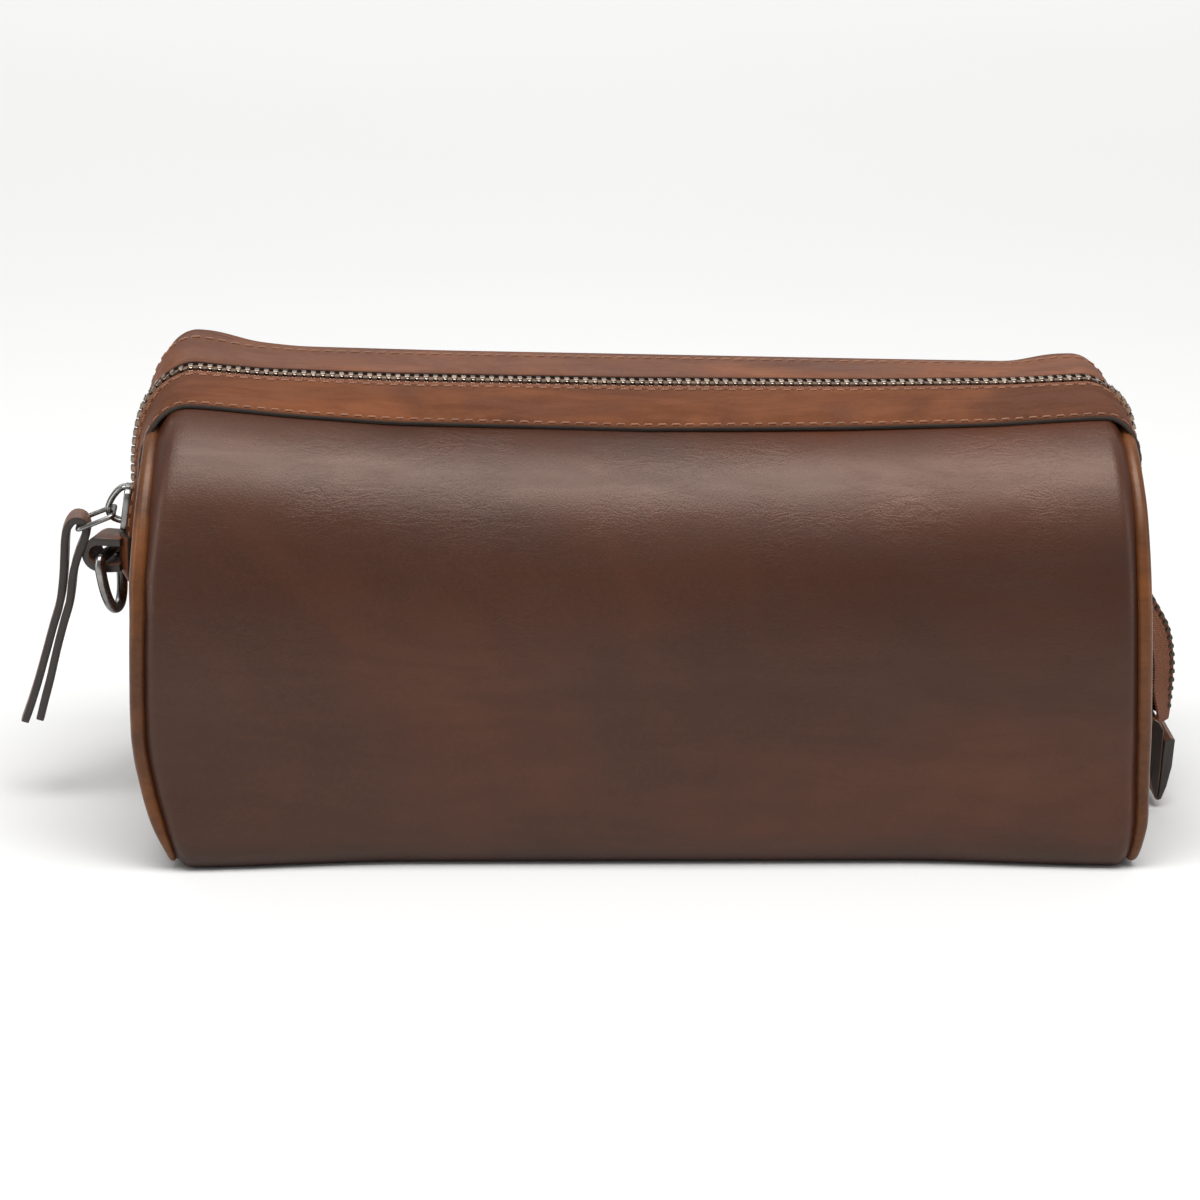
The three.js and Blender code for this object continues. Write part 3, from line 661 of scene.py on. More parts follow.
def leather(name, deep, warm, gloss, shine, patch=16.0, grain=1.0, edges=None, shade=1.0, painted_shade=0.0):
    """Waxed leather: cloudy tone, drawn-out streaks, a fine grain and shallow creases.

    gloss is the roughness and shine how strongly it reflects. edges gives the two distances, in the
    UV map's second direction, between which the leather is clear, and it darkens towards both.
    Its last argument paints shade: it darkens the leather slowly towards the right and at its foot.
    """
    look = Look(name)
    place = look.where()
    drawn = look.where(scale=(0.35, 1.0, 1.6), turn=(0.1, 0.25, 0.1))
    cloud = look.span(look.noise(place, patch, 4, 0.6, 0.6), 0.30, 0.72)
    streak = look.noise(drawn, patch * 7, 5, 0.6, 0.8)
    fleck = look.noise(place, 900, 2, 0.5)
    tone = look.blend(cloud, tuple(deep), tuple(warm))
    tone = look.blend(
        look.span(streak, 0.35, 0.75, 0.0, 0.35 * shade), tone, tuple(c * 0.6 for c in deep)
    )
    tone = look.blend(look.span(fleck, 0.35, 0.75, 0.0, 0.10), tone, tuple(c * 1.5 for c in warm))
    if edges:
        across = look.node(
            "ShaderNodeSeparateXYZ", {0: look.node("ShaderNodeTexCoord").outputs["UV"]}
        ).outputs["Y"]
        inner = look.span(across, edges[0], edges[0] + 0.0022, 0.55, 0.0)
        outer = look.span(across, edges[1] - 0.0022, edges[1], 0.0, 0.55)
        tone = look.blend(look.math("MAXIMUM", inner, outer), tone, tuple(c * 0.6 for c in deep))
    # Painted shade: darker towards the right across the middle of the walls, and darker at the foot.
    if painted_shade:
        spot = look.node("ShaderNodeSeparateXYZ", {0: place})
        height = spot.outputs["Z"]
        middle = look.math(
            "MULTIPLY", look.span(height, 0.028, 0.050), look.span(height, 0.082, 0.100, 1.0, 0.0)
        )
        far = look.math("MULTIPLY", look.span(spot.outputs["X"], -0.03, 0.10), middle)
        foot = look.span(height, 0.0, 0.012, 1.0, 0.0)
        painted_shade_amount = look.math("MULTIPLY", look.math("MAXIMUM", far, foot), painted_shade)
        tone = look.blend(painted_shade_amount, tone, tuple(c * 0.4 for c in deep))
    # Shallow waves, then creases that come and go in patches, then the pores.
    folds = look.noise(look.where(scale=(0.45, 1, 1.5), turn=(0.0, 0.45, 0.0)), 150, 5, 0.62, 2.2)
    folds = look.span(look.math("ABSOLUTE", look.math("SUBTRACT", folds, 0.5)), 0.0, 0.09)
    where = look.span(look.noise(place, 34, 2, 0.5), 0.42, 0.62)
    folds = look.math("MULTIPLY", look.math("SUBTRACT", folds, 1.0), where)
    pebbles = look.cells(look.where(), 1150)
    normal = look.bump(look.noise(place, 60, 3, 0.5), 0.14, 0.0012)
    normal = look.bump(folds, 0.11 * grain, 0.0005, normal)
    normal = look.bump(look.span(pebbles, 0.0, 0.18), 0.10 * grain, 0.0002, normal)
    rough = look.span(streak, 0.3, 0.75, gloss - 0.04, gloss + 0.08)
    return look.finish(
        tone, rough, normal, Specular_IOR_Level=shine, Specular_Tint=(1.0, 0.82, 0.72, 1.0)
    )


def painted_edge():
    look = Look("painted_edge")
    tone = look.blend(
        look.noise(look.where(), 260, 3), tuple(colours().edge), tuple(c * 2.2 for c in colours().edge)
    )
    normal = look.bump(look.noise(look.where(), 900, 2), 0.25, 0.0002)
    return look.finish(tone, 0.42, normal)


def thread():
    look = Look("thread")
    twist = look.noise(look.where(scale=(1, 1, 1)), 2600, 2)
    tone = look.blend(
        look.span(look.noise(look.where(), 60, 2), 0.35, 0.65),
        tuple(c * 0.72 for c in colours().thread),
        tuple(colours().thread),
    )
    return look.finish(tone, 0.62, look.bump(twist, 0.4, 0.0002), Sheen_Weight=0.2)


def zip_cloth():
    """Woven tape: a herringbone whose ribs turn back every few threads."""
    look = Look("zip_tape")
    parts = look.node(
        "ShaderNodeSeparateXYZ", {0: look.node("ShaderNodeTexCoord").outputs["UV"]}
    ).outputs
    bent = look.math("PINGPONG", parts["Y"], 0.0011)
    run = look.math("MULTIPLY", look.math("ADD", parts["X"], bent), 2 * math.pi / 0.00085)
    ribs = look.math("MULTIPLY_ADD", look.math("SINE", run), 0.5, 0.5)
    fuzz = look.noise(look.where(), 1500, 2)
    height = look.math("MULTIPLY_ADD", fuzz, 0.35, ribs)
    # Painted shade: the grooves between the ribs are darkened to 38% of the tape colour.
    tone = look.blend(
        look.span(ribs, 0.05, 0.9), tuple(c * 0.38 for c in colours().tape), tuple(colours().tape)
    )
    tone = look.blend(look.span(fuzz, 0.4, 0.8, 0, 0.3), tone, tuple(c * 1.5 for c in colours().tape))
    normal = look.bump(height, 0.7, 0.00035)
    return look.finish(tone, 0.85, normal, Sheen_Weight=0.08, Specular_IOR_Level=0.2)


def lining_cloth():
    look = Look("lining_cloth")
    place = look.where()
    weave = look.math(
        "MULTIPLY",
        look.math("ABSOLUTE", look.math("SINE", look.math("MULTIPLY", look.math("ADD", *axes(look, "X", "Z")), 5200))),
        look.math("ABSOLUTE", look.math("SINE", look.math("MULTIPLY", look.math("SUBTRACT", *axes(look, "Y", "Z")), 5200))),
    )
    tone = look.blend(
        look.span(look.noise(place, 30, 3), 0.35, 0.7),
        tuple(c * 0.8 for c in colours().lining),
        tuple(colours().lining),
    )
    return look.finish(tone, 0.9, look.bump(weave, 0.35, 0.0003), Sheen_Weight=0.25)


def axes(look, *names):
    parts = look.node(
        "ShaderNodeSeparateXYZ", {0: look.node("ShaderNodeTexCoord").outputs["Object"]}
    ).outputs
    return [parts[name] for name in names]


def metal(name, tone, roughness):
    look = Look(name)
    wear = look.noise(look.where(), 240, 4, 0.6)
    shade = look.blend(look.span(wear, 0.3, 0.7), tuple(c * 0.62 for c in tone), tuple(tone))
    rough = look.span(wear, 0.3, 0.75, roughness - 0.06, roughness + 0.10)
    return look.finish(shade, rough, look.bump(wear, 0.06, 0.0003), Metallic=1.0)


def board_look():
    look = Look("stiffener_board")
    fibre = look.noise(look.where(scale=(1, 1, 4)), 500, 4, 0.7)
    tone = look.blend(fibre, (0.16, 0.11, 0.07), (0.27, 0.20, 0.13))
    return look.finish(tone, 0.95, look.bump(fibre, 0.3, 0.0003))


MATERIALS = {}


def material(name):
    """Each finish is made once, when a piece first asks for it."""
    if name not in MATERIALS:
        c = colours()
        makers = {
            # The wrap has painted shade towards the right and at its foot.
            "wrap": lambda: leather(
                "wrap_leather", c.wrap_deep, c.wrap_warm, 0.36, 0.48, 9.0, painted_shade=0.50
            ),
            "strip": lambda: leather(
                "band_leather", c.strip_deep, c.strip_warm, 0.52, 0.05, 22.0, 1.2, (0.0050, 0.0320)
            ),
            # Painted light: the rear strip is the band leather made 15% lighter.
            "strip_rear": lambda: leather(
                "rear_band_painted_light",
                [v * 1.15 for v in c.strip_deep],
                [v * 1.15 for v in c.strip_warm],
                0.50,
                0.16,
                22.0,
                1.2,
                (0.0050, 0.0320),
            ),
            "patch": lambda: leather("patch_leather", c.strip_deep, c.strip_warm, 0.50, 0.25, 40.0),
            "piping": lambda: leather("piping_leather", c.piping_deep, c.piping_warm, 0.32, 0.40, 30.0, 0.6),
            "pull": lambda: leather("pull_leather", c.pull_deep, c.pull_warm, 0.42, 0.4, 60.0),
            "edge": painted_edge,
            "thread": thread,
            "tape": zip_cloth,
            "lining": lining_cloth,
            "teeth": lambda: metal("zip_teeth", c.teeth, 0.24),
            # Painted shade: the tail's teeth are the zip's teeth metal at 30% brightness.
            "teeth_painted_shade": lambda: metal("tail_teeth", [v * 0.3 for v in c.teeth], 0.45),
            "metal": lambda: metal("fitting_metal", c.metal, 0.22),
            "board": board_look,
        }
        MATERIALS[name] = makers[name]()
    return MATERIALS[name]


# ---------------------------------------------------------------- soft pieces


def bend_with(piece, lip, *replaced, slot):
    """Puts the piece's place into its mesh and hides the CAD nodes that it stands for."""
    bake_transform(piece)
    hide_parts(*replaced)


class WASHBAG_OT_wrap(bpy.types.Operator):
    """Cover the base and both long walls in dark leather"""

    bl_idname = "washbag.wrap"
    bl_label = "Wrap"

    def execute(self, context):
        for lip, face in LIPS.items():
            share = np.linspace(0, 1, 150)
            ends = 1 - np.array([0, 0.004, 0.009, 0.015, 0.022, 0.032, 0.045])
            middle = np.linspace(-0.94, 0.94, 150)
            along = np.r_[-ends, middle, ends[::-1]]
            s, a = np.meshgrid(share, along, indexing="ij")
            points = wall_point(face, a, s, 0.0)
            uv = np.stack([points[..., 0], s * SECTION_LENGTH], -1)
            outward = points - np.array([0, 0, 0.05])
            outward[..., 0] = 0
            piece = sheet_piece(
                f"wrap_{lip}", points, uv, sizes().wall, outward, "wrap", "edge"
            )
            bend_with(piece, lip, "base_wrap", f"{lip}_wall", slot="wrap_leather")
        return {"FINISHED"}


class WASHBAG_OT_ends(bpy.types.Operator):
    """Close both ends with leather panels"""

    bl_idname = "washbag.ends"
    bl_label = "Ends"

    def execute(self, context):
        edge = 0.0052
        for end, side in ENDS.items():
            for lip, face in LIPS.items():
                z = np.r_[np.linspace(0.0054, 0.02, 24, endpoint=False), np.linspace(0.02, 0.108, 70)]
                t = np.r_[np.linspace(0, 0.88, 24), np.linspace(0.9, 1, 8)]
                zz, tt = np.meshgrid(z, t, indexing="ij")
                deep = section(share_at(zz, edge), edge)[0]
                points = end_point(side, face * tt * deep, zz, 0.0, edge)
                uv = points[..., 1:]
                piece = sheet_piece(
                    f"end_{end}_{lip}", points, uv, sizes().wall, (side, 0, 0), "wrap", "edge"
                )
                bend_with(piece, lip, f"{end}_end_base", f"{end}_end_{lip}", slot="wrap_leather")
        return {"FINISHED"}


class WASHBAG_OT_piping(bpy.types.Operator):
    """Roll tan leather round the seam of each end"""

    bl_idname = "washbag.piping"
    bl_label = "Piping"

    def execute(self, context):
        radius = sizes().piping
        inset = radius + 0.0004
        for end, side in ENDS.items():
            for lip, face in LIPS.items():
                share = np.linspace(0, 1, 260)
                y, z = section(share, inset)
                x = seam_x(side, z)
                z = z + under_strip(face, side * x) * smooth((z - 0.058) / 0.054)
                # Near its top the piping bends in under the strip's corner.
                along, height = strip_edge(face)
                half = side * along > 0.09
                order = np.argsort(height[half])
                limit = np.interp(z + 0.0020, height[half][order], side * along[half][order])
                x = np.minimum(x, limit - 0.0010)
                keep = (z < 0.09) | (x > (0.1215 if face > 0 else 0.1235))
                y = y + flare(1.0, z) * smooth(share * 12)
                points = np.stack([side * x, face * y, z], 1)[keep]
                # It is pulled thin and in under the leather where it passes below the bag.
                low = 1 - smooth(points[:, 2] / 0.016)
                high = np.exp(-(((points[:, 2] - 0.088) / 0.016) ** 2)) * (side < 0)
                thin = 0.90 + 0.18 * high - 0.16 * (1 - smooth(points[:, 2] / 0.045)) - (0.35 if side < 0 else 0.1) * low
                points[:, 0] -= side * 0.0010 * low
                piece = tube_piece(f"piping_{end}_{lip}", points, radius * thin, 20)
                dress(piece, material("piping"))
                bend_with(
                    piece,
                    lip,
                    f"{end}_piping_base",
                    f"{end}_piping_{lip}",
                    slot="piping_leather",
                )
        return {"FINISHED"}


class WASHBAG_OT_band(bpy.types.Operator):
    """Lay the two leather strips of the zip band"""

    bl_idname = "washbag.band"
    bl_label = "Band"

    def execute(self, context):
        inner, outer = sizes().slot / 2, sizes().band / 2
        # Distance from the inner edge, and how far the face lies above its own line there.
        profile = (
            (0.0, -0.10), (0.0005, 0.05), (0.0010, -0.02), (0.0014, -0.12), (0.0018, -0.02),
            (0.0028, 0.12), (0.006, 0.22), (0.010, 0.28), (0.0135, 0.30), (0.017, 0.26),
            (0.021, 0.18), (0.0238, 0.08), (0.0248, -0.02), (0.0254, -0.16), (0.0260, -0.02),
            (0.0266, 0.02), (0.0271, -0.08),
        )
        width = outer - inner
        for lip, face in LIPS.items():
            rows = []
            for off, up in profile:
                off = off * width / 0.0271
                curl = 0.0011 * max(0.0, 1 - off / 0.006) ** 2
                rows.append((face * (inner + off), up * 0.001, up * 0.001 + curl))
            points, uv = band_grid(rows, (0.066, 0.066))
            points = part_round_slider(points)
            outward = points - np.array([0, 0, 0.06])
            # The rear strip takes the lighter copy of the band leather: painted light.
            finish = "strip" if face < 0 else "strip_rear"
            piece = sheet_piece(
                f"strip_{lip}", points, uv, sizes().strip, outward, finish, "edge", 0.0003
            )
            bend_with(
                piece,
                lip,
                f"{lip}_strip",
                f"left_strip_foot_{lip}",
                f"right_strip_foot_{lip}",
                slot="band_leather",
            )
        return {"FINISHED"}


def stitch_template():
    """One stitch: a short fat thread that dips at both ends."""
    bpy.ops.object.select_all(action="DESELECT")
    bpy.ops.mesh.primitive_cylinder_add(vertices=6, radius=1, depth=2, rotation=(0, math.pi / 2, 0))
    piece = settle(bpy.context.object)
    bpy.ops.object.mode_set(mode="EDIT")
    bpy.ops.mesh.select_all(action="DESELECT")
    bpy.ops.object.mode_set(mode="OBJECT")
    for polygon in piece.data.polygons:
        polygon.select = abs(polygon.normal.x) > 0.9
    bpy.ops.object.mode_set(mode="EDIT")
    bpy.ops.mesh.select_mode(type="FACE")
    bpy.ops.mesh.extrude_region_shrink_fatten(TRANSFORM_OT_shrink_fatten={"value": 0.5})
    bpy.ops.object.mode_set(mode="OBJECT")
    radius, half = sizes().thread, sizes().stitch * 0.39
    for v in piece.data.vertices:
        at = v.co.x / 1.5
        fat = radius * (1.0 if abs(at) < 0.8 else 0.55)
        v.co = (at * half, v.co.y * fat, v.co.z * fat - radius * (0.1 if abs(at) < 0.8 else 1.1))
    return piece


def stitch_rows(name, rows):
    """Stitches along each of several rows of (points, normals)."""
    template = stitch_template()
    places, along, across, up = [], [], [], []
    for points, normals in rows:
        tangent = np.gradient(points, axis=0)
        tangent /= np.linalg.norm(tangent, axis=1, keepdims=True)
        side = np.cross(normals, tangent)
        side /= np.linalg.norm(side, axis=1, keepdims=True)
        slant = 0.10
        places.append(points)
        along.append(tangent * math.cos(slant) + side * math.sin(slant))
        across.append(side * math.cos(slant) - tangent * math.sin(slant))
        up.append(normals)
    piece = copies_piece(
        name, template, np.vstack(places), np.vstack(along), np.vstack(across), np.vstack(up)
    )
    discard(template)
    return dress(piece, material("thread"))


class WASHBAG_OT_stitching(bpy.types.Operator):
    """Sew both edges of the front strip and one row on the rear strip"""

    bl_idname = "washbag.stitching"
    bl_label = "Stitching"

    def execute(self, context):
        for lip, face in LIPS.items():
            rows = []
            # The rear strip has one row, well in from its outer edge.
            lines = ((0.0014, 0.00008, 0.00085), (0.0254, 0.00008, 0.0))
            for off, lift, end_lift in lines if face < 0 else ((0.0198, 0.00034, 0.0003),):
                y = face * (sizes().slot / 2 + off)
                points, normals, _ = band_line(
                    y, (lift, end_lift), (0.0675, 0.0675), step=sizes().stitch
                )
                rows.append((part_round_slider(points), normals))
            piece = stitch_rows(f"stitches_{lip}", rows)
            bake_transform(piece)
        return {"FINISHED"}


class WASHBAG_OT_lining(bpy.types.Operator):
    """Line the bag with cloth over a stiff base board"""

    bl_idname = "washbag.lining"
    bl_label = "Lining"

    def execute(self, context):
        inset = 0.0040
        for lip, face in LIPS.items():
            s, a = np.meshgrid(np.linspace(0, 0.985, 90), np.linspace(-1, 1, 90), indexing="ij")
            y, z = section(s, inset)
            x = a * (np.where(a < 0, seam_x(-1, z), seam_x(1, z)) - 0.0052)
            lift = under_strip(face, x) * smooth((z - 0.058) / 0.054)
            points = np.stack([x, face * y, z + lift], -1)
            outward = points - np.array([0, 0, 0.05])
            outward[..., 0] = 0
            uv = np.stack([x, s * SECTION_LENGTH], -1)
            piece = sheet_piece(
                f"lining_{lip}", points, uv, sizes().lining, outward, "lining"
            )
            bend_with(piece, lip, "base_lining", f"{lip}_lining", slot="lining_cloth")
            for end, side in ENDS.items():
                z = np.linspace(0.0056, 0.103, 60)
                zz, tt = np.meshgrid(z, np.linspace(0, 1, 20), indexing="ij")
                deep = section(share_at(zz, 0.0051), 0.0051)[0]
                start = np.where(zz > 0.066, 0.0035, 0.0)
                yy = face * (start + tt * (deep - start))
                points = end_point(side, yy, zz, 0.0042, 0.0051)
                piece = sheet_piece(
                    f"lining_{end}_{lip}",
                    points,
                    points[..., 1:],
                    sizes().lining,
                    (side, 0, 0),
                    "lining",
                )
                bend_with(
                    piece, lip, f"{end}_lining_base", f"{end}_lining_{lip}", slot="lining_cloth"
                )
        dress(frame["nodes"]["base_board"], material("board"))
        return {"FINISHED"}


def tooth_template():
    """One zip tooth, lying along the tape's edge: legs that grip the tape and a round head."""
    bpy.ops.object.select_all(action="DESELECT")
    bpy.ops.mesh.primitive_cube_add(size=1)
    piece = bpy.context.object
    piece.scale = (0.00118, 0.0019, 0.0016)
    piece.location = (0, 0.0017, 0)
    settle(piece)
    for polygon in piece.data.polygons:
        polygon.select = polygon.normal.y < -0.9
    bpy.ops.object.mode_set(mode="EDIT")
    bpy.ops.mesh.select_mode(type="FACE")
    bpy.ops.mesh.extrude_region_move(TRANSFORM_OT_translate={"value": (0, -0.0009, 0)})
    bpy.ops.transform.resize(value=(0.95, 1, 0.80))
    bpy.ops.mesh.extrude_region_move(TRANSFORM_OT_translate={"value": (0, -0.0005, 0)})
    bpy.ops.transform.resize(value=(0.55, 1, 0.55))
    bpy.ops.mesh.select_all(action="SELECT")
    bpy.ops.mesh.bevel(offset=0.00034, segments=2, affect="EDGES")
    bpy.ops.object.mode_set(mode="OBJECT")
    return piece


class WASHBAG_OT_zip(bpy.types.Operator):
    """Make the zip's tapes, teeth and stops"""

    bl_idname = "washbag.zip"
    bl_label = "Zip"

    def execute(self, context):
        pitch = sizes().tooth
        template = tooth_template()
        for lip, face in LIPS.items():
            # The front tape lies level with its strip, and the rear one runs in under it.
            near, mid, edge = (0.0000, 0.0001, -0.0002) if face < 0 else (-0.0005, -0.0010, -0.0016)
            rows = [
                (face * 0.0012, -0.0006, 0.0016),
                (face * 0.0024, -0.0003, 0.0016),
                (face * 0.0032, near, 0.0012),
                (face * 0.0041, mid, 0.0003),
                (face * 0.0049, edge, -0.0009),
                (face * 0.0056, -0.0017, -0.0018),
                (face * 0.0085, -0.0020, -0.0019),
                (face * 0.0110, -0.0020, -0.0019),
            ]
            points, uv = band_grid(rows, (0.0665, 0.0665))
            outward = points - np.array([0, 0, 0.06])
            piece = sheet_piece(f"zip_tape_{lip}", points, uv, 0.0005, outward, "tape")
            bend_with(
                piece,
                lip,
                f"{lip}_zip_tape",
                f"left_tape_foot_{lip}",
                f"right_tape_foot_{lip}",
                slot="zip_tape",
            )
            points, normals, steps = band_line(face * 0.0004, (-0.0004, 0.00165), (0.0752, 0.067), 2400)
            first = 0.0006 + (pitch / 2 if face > 0 else 0)
            at = np.arange(first, steps[-1] - 0.0005, pitch)
            pick = lambda v: np.stack([np.interp(at, steps, v[:, i]) for i in range(3)], 1)
            places, up = pick(points), pick(normals)
            up /= np.linalg.norm(up, axis=1, keepdims=True)
            places[:, 1] = 0
            across = np.tile((0.0, float(face), 0.0), (len(at), 1))
            along = np.cross(across, up)
            teeth = copies_piece(f"zip_teeth_{lip}", template, places, along, across, up, 30)
            dress(teeth, material("teeth"))
            bend_with(
                teeth,
                lip,
                f"{lip}_zip_teeth",
                f"left_teeth_foot_{lip}",
                f"right_teeth_foot_{lip}",
                slot="zip_metal",
            )
            low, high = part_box(f"{lip}_top_stop")
            stop = block_piece(f"zip_stop_{lip}", low, high, 0.0005)
            dress(stop, material("teeth"))
            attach(stop, "base")
            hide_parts(f"{lip}_top_stop")
        discard(template)
        return {"FINISHED"}


# ---------------------------------------------------------------- hard pieces


def block_piece(name, low, high, bevel, segments=3):
    """A box between two corners with round edges."""
    bpy.ops.object.select_all(action="DESELECT")
    bpy.ops.mesh.primitive_cube_add(size=1)
    piece = bpy.context.object
    piece.name = name
    piece.location = [(a + b) / 2 for a, b in zip(low, high)]
    piece.scale = [b - a for a, b in zip(low, high)]
    settle(piece)
    bpy.ops.object.mode_set(mode="EDIT")
    bpy.ops.mesh.select_all(action="SELECT")
    bpy.ops.mesh.bevel(offset=bevel, segments=segments, affect="EDGES")
    bpy.ops.object.mode_set(mode="OBJECT")
    bpy.ops.object.shade_smooth_by_angle(angle=math.radians(40))
    return piece


def wire_piece(name, points, radius, closed=True, sides=8):
    """A bent wire along points."""
    curve = bpy.data.curves.new(name, "CURVE")
    curve.dimensions = "3D"
    curve.bevel_depth = radius
    curve.bevel_resolution = sides // 2
    curve.use_fill_caps = True
    spline = curve.splines.new("POLY")
    spline.points.add(len(points) - 1)
    for target, point in zip(spline.points, points):
        target.co = (*point, 1)
    spline.use_cyclic_u = closed
    piece = bpy.data.objects.new(name, curve)
    bpy.context.scene.collection.objects.link(piece)
    only(piece)
    bpy.ops.object.convert(target="MESH")
    piece = bpy.context.object
    outwards_only(piece)
    bpy.ops.object.shade_smooth_by_angle(angle=math.radians(50))
    return piece


def joined(name, pieces):
    """Several solids made one piece, each still a closed shell."""
    for other in bpy.context.view_layer.objects:
        other.select_set(False)
    for piece in pieces:
        piece.select_set(True)
    bpy.context.view_layer.objects.active = pieces[0]
    bpy.ops.object.join()
    whole = bpy.context.object
    whole.name = name
    return settle(whole)


SLIDER_FOOT = 0.0764
SLIDER_FACE = 0.1369
LINK_PIVOT = Vector((-0.13955, 0, 0.0809))
LINK_FOLD = Vector((-0.149071, 0, 0.076976))


def slider_plate(name, inner, outer):
    """A shield-shaped plate of the slider, narrow at its foot, between two distances from the middle."""
    bpy.ops.object.select_all(action="DESELECT")
    bpy.ops.mesh.primitive_cube_add(size=1)
    piece = bpy.context.object
    piece.name = name
    piece.location = (-(inner + outer) / 2, 0, SLIDER_FOOT + 0.006)
    piece.scale = (outer - inner, 0.009, 0.012)
    settle(piece)
    bpy.ops.object.mode_set(mode="EDIT")
    bpy.ops.mesh.select_all(action="SELECT")
    bpy.ops.mesh.bisect(plane_co=(0, 0, SLIDER_FOOT + 0.0055), plane_no=(0, 0, 1))
    bpy.ops.object.mode_set(mode="OBJECT")
    for v in piece.data.vertices:
        if v.co.z < SLIDER_FOOT + 0.001:
            v.co.y *= 0.86
    upright(piece, SLIDER_FOOT + 0.011)
    bpy.ops.object.mode_set(mode="EDIT")
    bpy.ops.mesh.bevel(offset=0.0034, segments=6, affect="EDGES")
    bpy.ops.object.mode_set(mode="OBJECT")
    upright(piece, 0, SLIDER_FOOT + 0.001)
    bpy.ops.object.mode_set(mode="EDIT")
    bpy.ops.mesh.bevel(offset=0.0009, segments=3, affect="EDGES")
    bpy.ops.object.mode_set(mode="OBJECT")
    rim = piece.modifiers.new("Rim", "BEVEL")
    rim.width = 0.00042
    rim.segments = 3
    rim.limit_method = "ANGLE"
    rim.angle_limit = math.radians(50)
    return apply_all(piece)


def upright(piece, low, high=1.0):
    """Selects the edges across a plate's thickness whose height is between two values."""
    bpy.ops.object.mode_set(mode="EDIT")
    bpy.ops.mesh.select_mode(type="EDGE")
    bpy.ops.mesh.select_all(action="DESELECT")
    bpy.ops.object.mode_set(mode="OBJECT")
    for edge in piece.data.edges:
        a, b = (piece.data.vertices[i].co for i in edge.vertices)
        edge.select = (
            abs(a.y - b.y) < 1e-5
            and abs(a.z - b.z) < 1e-5
            and low < a.z < high
            and abs(a.y) > 0.001
        )


class WASHBAG_OT_slider(bpy.types.Operator):
    """Model the zip's slider and its bridge"""

    bl_idname = "washbag.slider"
    bl_label = "Slider"

    def execute(self, context):
        front = slider_plate("front", SLIDER_FACE - 0.0019, SLIDER_FACE + 0.0003)
        keel = slider_plate("keel", 0.1303, 0.1317)
        post = block_piece(
            "post", (-SLIDER_FACE + 0.001, -0.0003, 0.0815), (-0.131, 0.0003, 0.0872), 0.0001, 1
        )
        parts = [front, keel, post]
        for face in (-1, 1):
            y = sorted((face * 0.0032, face * 0.00398))
            parts.append(
                block_piece(
                    "flange", (-SLIDER_FACE + 0.001, y[0], 0.0770), (-0.1339, y[1], 0.0822), 0.0003
                )
            )
        # The bridge is a flat bar bent into an arch, and it thins where it meets the plate.
        arch = [
            (-0.0002, 0.0018), (0.0014, 0.0020), (0.0029, 0.0026), (0.0038, 0.0037),
            (0.0041, 0.0050), (0.0037, 0.0068), (0.0029, 0.0086), (0.0018, 0.0102),
            (0.0006, 0.0111), (-0.0006, 0.0112),
        ]
        control = np.array([(-SLIDER_FACE - out, 0, SLIDER_FOOT + up) for out, up in arch])
        bridge = wire_piece("bridge", smooth_line(control, 50), 0.00088, False, 10)
        for v in bridge.data.vertices:
            v.co.y *= 1.75
        parts.append(bridge)
        # The slider sits over the dome of the patch, so it leans out at its foot.
        lean = Matrix.Translation((-SLIDER_FACE, 0, SLIDER_FOOT + 0.0060)) @ Matrix.Rotation(
            math.radians(7), 4, "Y"
        ) @ Matrix.Translation((SLIDER_FACE, 0, -SLIDER_FOOT - 0.0060))
        for part in (front, bridge):
            part.data.transform(lean)
        slider = joined("zip_slider_body", parts)
        bpy.ops.object.shade_smooth_by_angle(angle=math.radians(40))
        dress(slider, material("metal"))
        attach(slider, "zip_slider")
        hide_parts("zip_slider")
        return {"FINISHED"}


def smooth_line(control, count):
    """A smooth curve through a few points, evenly spaced."""
    control = np.asarray(control, float)
    padded = np.vstack([2 * control[0] - control[1], control, 2 * control[-1] - control[-2]])
    made = []
    for i in range(1, len(padded) - 2):
        p0, p1, p2, p3 = padded[i - 1 : i + 3]
        for t in np.linspace(0, 1, 24, endpoint=False):
            made.append(
                0.5
                * (
                    2 * p1
                    + (p2 - p0) * t
                    + (2 * p0 - 5 * p1 + 4 * p2 - p3) * t * t
                    + (3 * p1 - p0 - 3 * p2 + p3) * t**3
                )
            )
    made = np.vstack([made, control[-1:]])
    steps = np.r_[0, np.cumsum(np.linalg.norm(np.diff(made, axis=0), axis=1))]
    even = np.linspace(0, steps[-1], count)
    return np.stack([np.interp(even, steps, made[:, i]) for i in range(3)], 1)


def rounded_loop(half, near, far, radius, count=6):
    """Corner points of a rectangle with round corners: (out, across)."""
    made = []
    for cx, cy, start in (
        (far - radius, half - radius, 0),
        (near + radius, half - radius, 90),
        (near + radius, -half + radius, 180),
        (far - radius, -half + radius, 270),
    ):
        for k in range(count + 1):
            a = math.radians(start + 90 * k / count)
            made.append((cx + radius * math.cos(a), cy + radius * math.sin(a)))
    return made


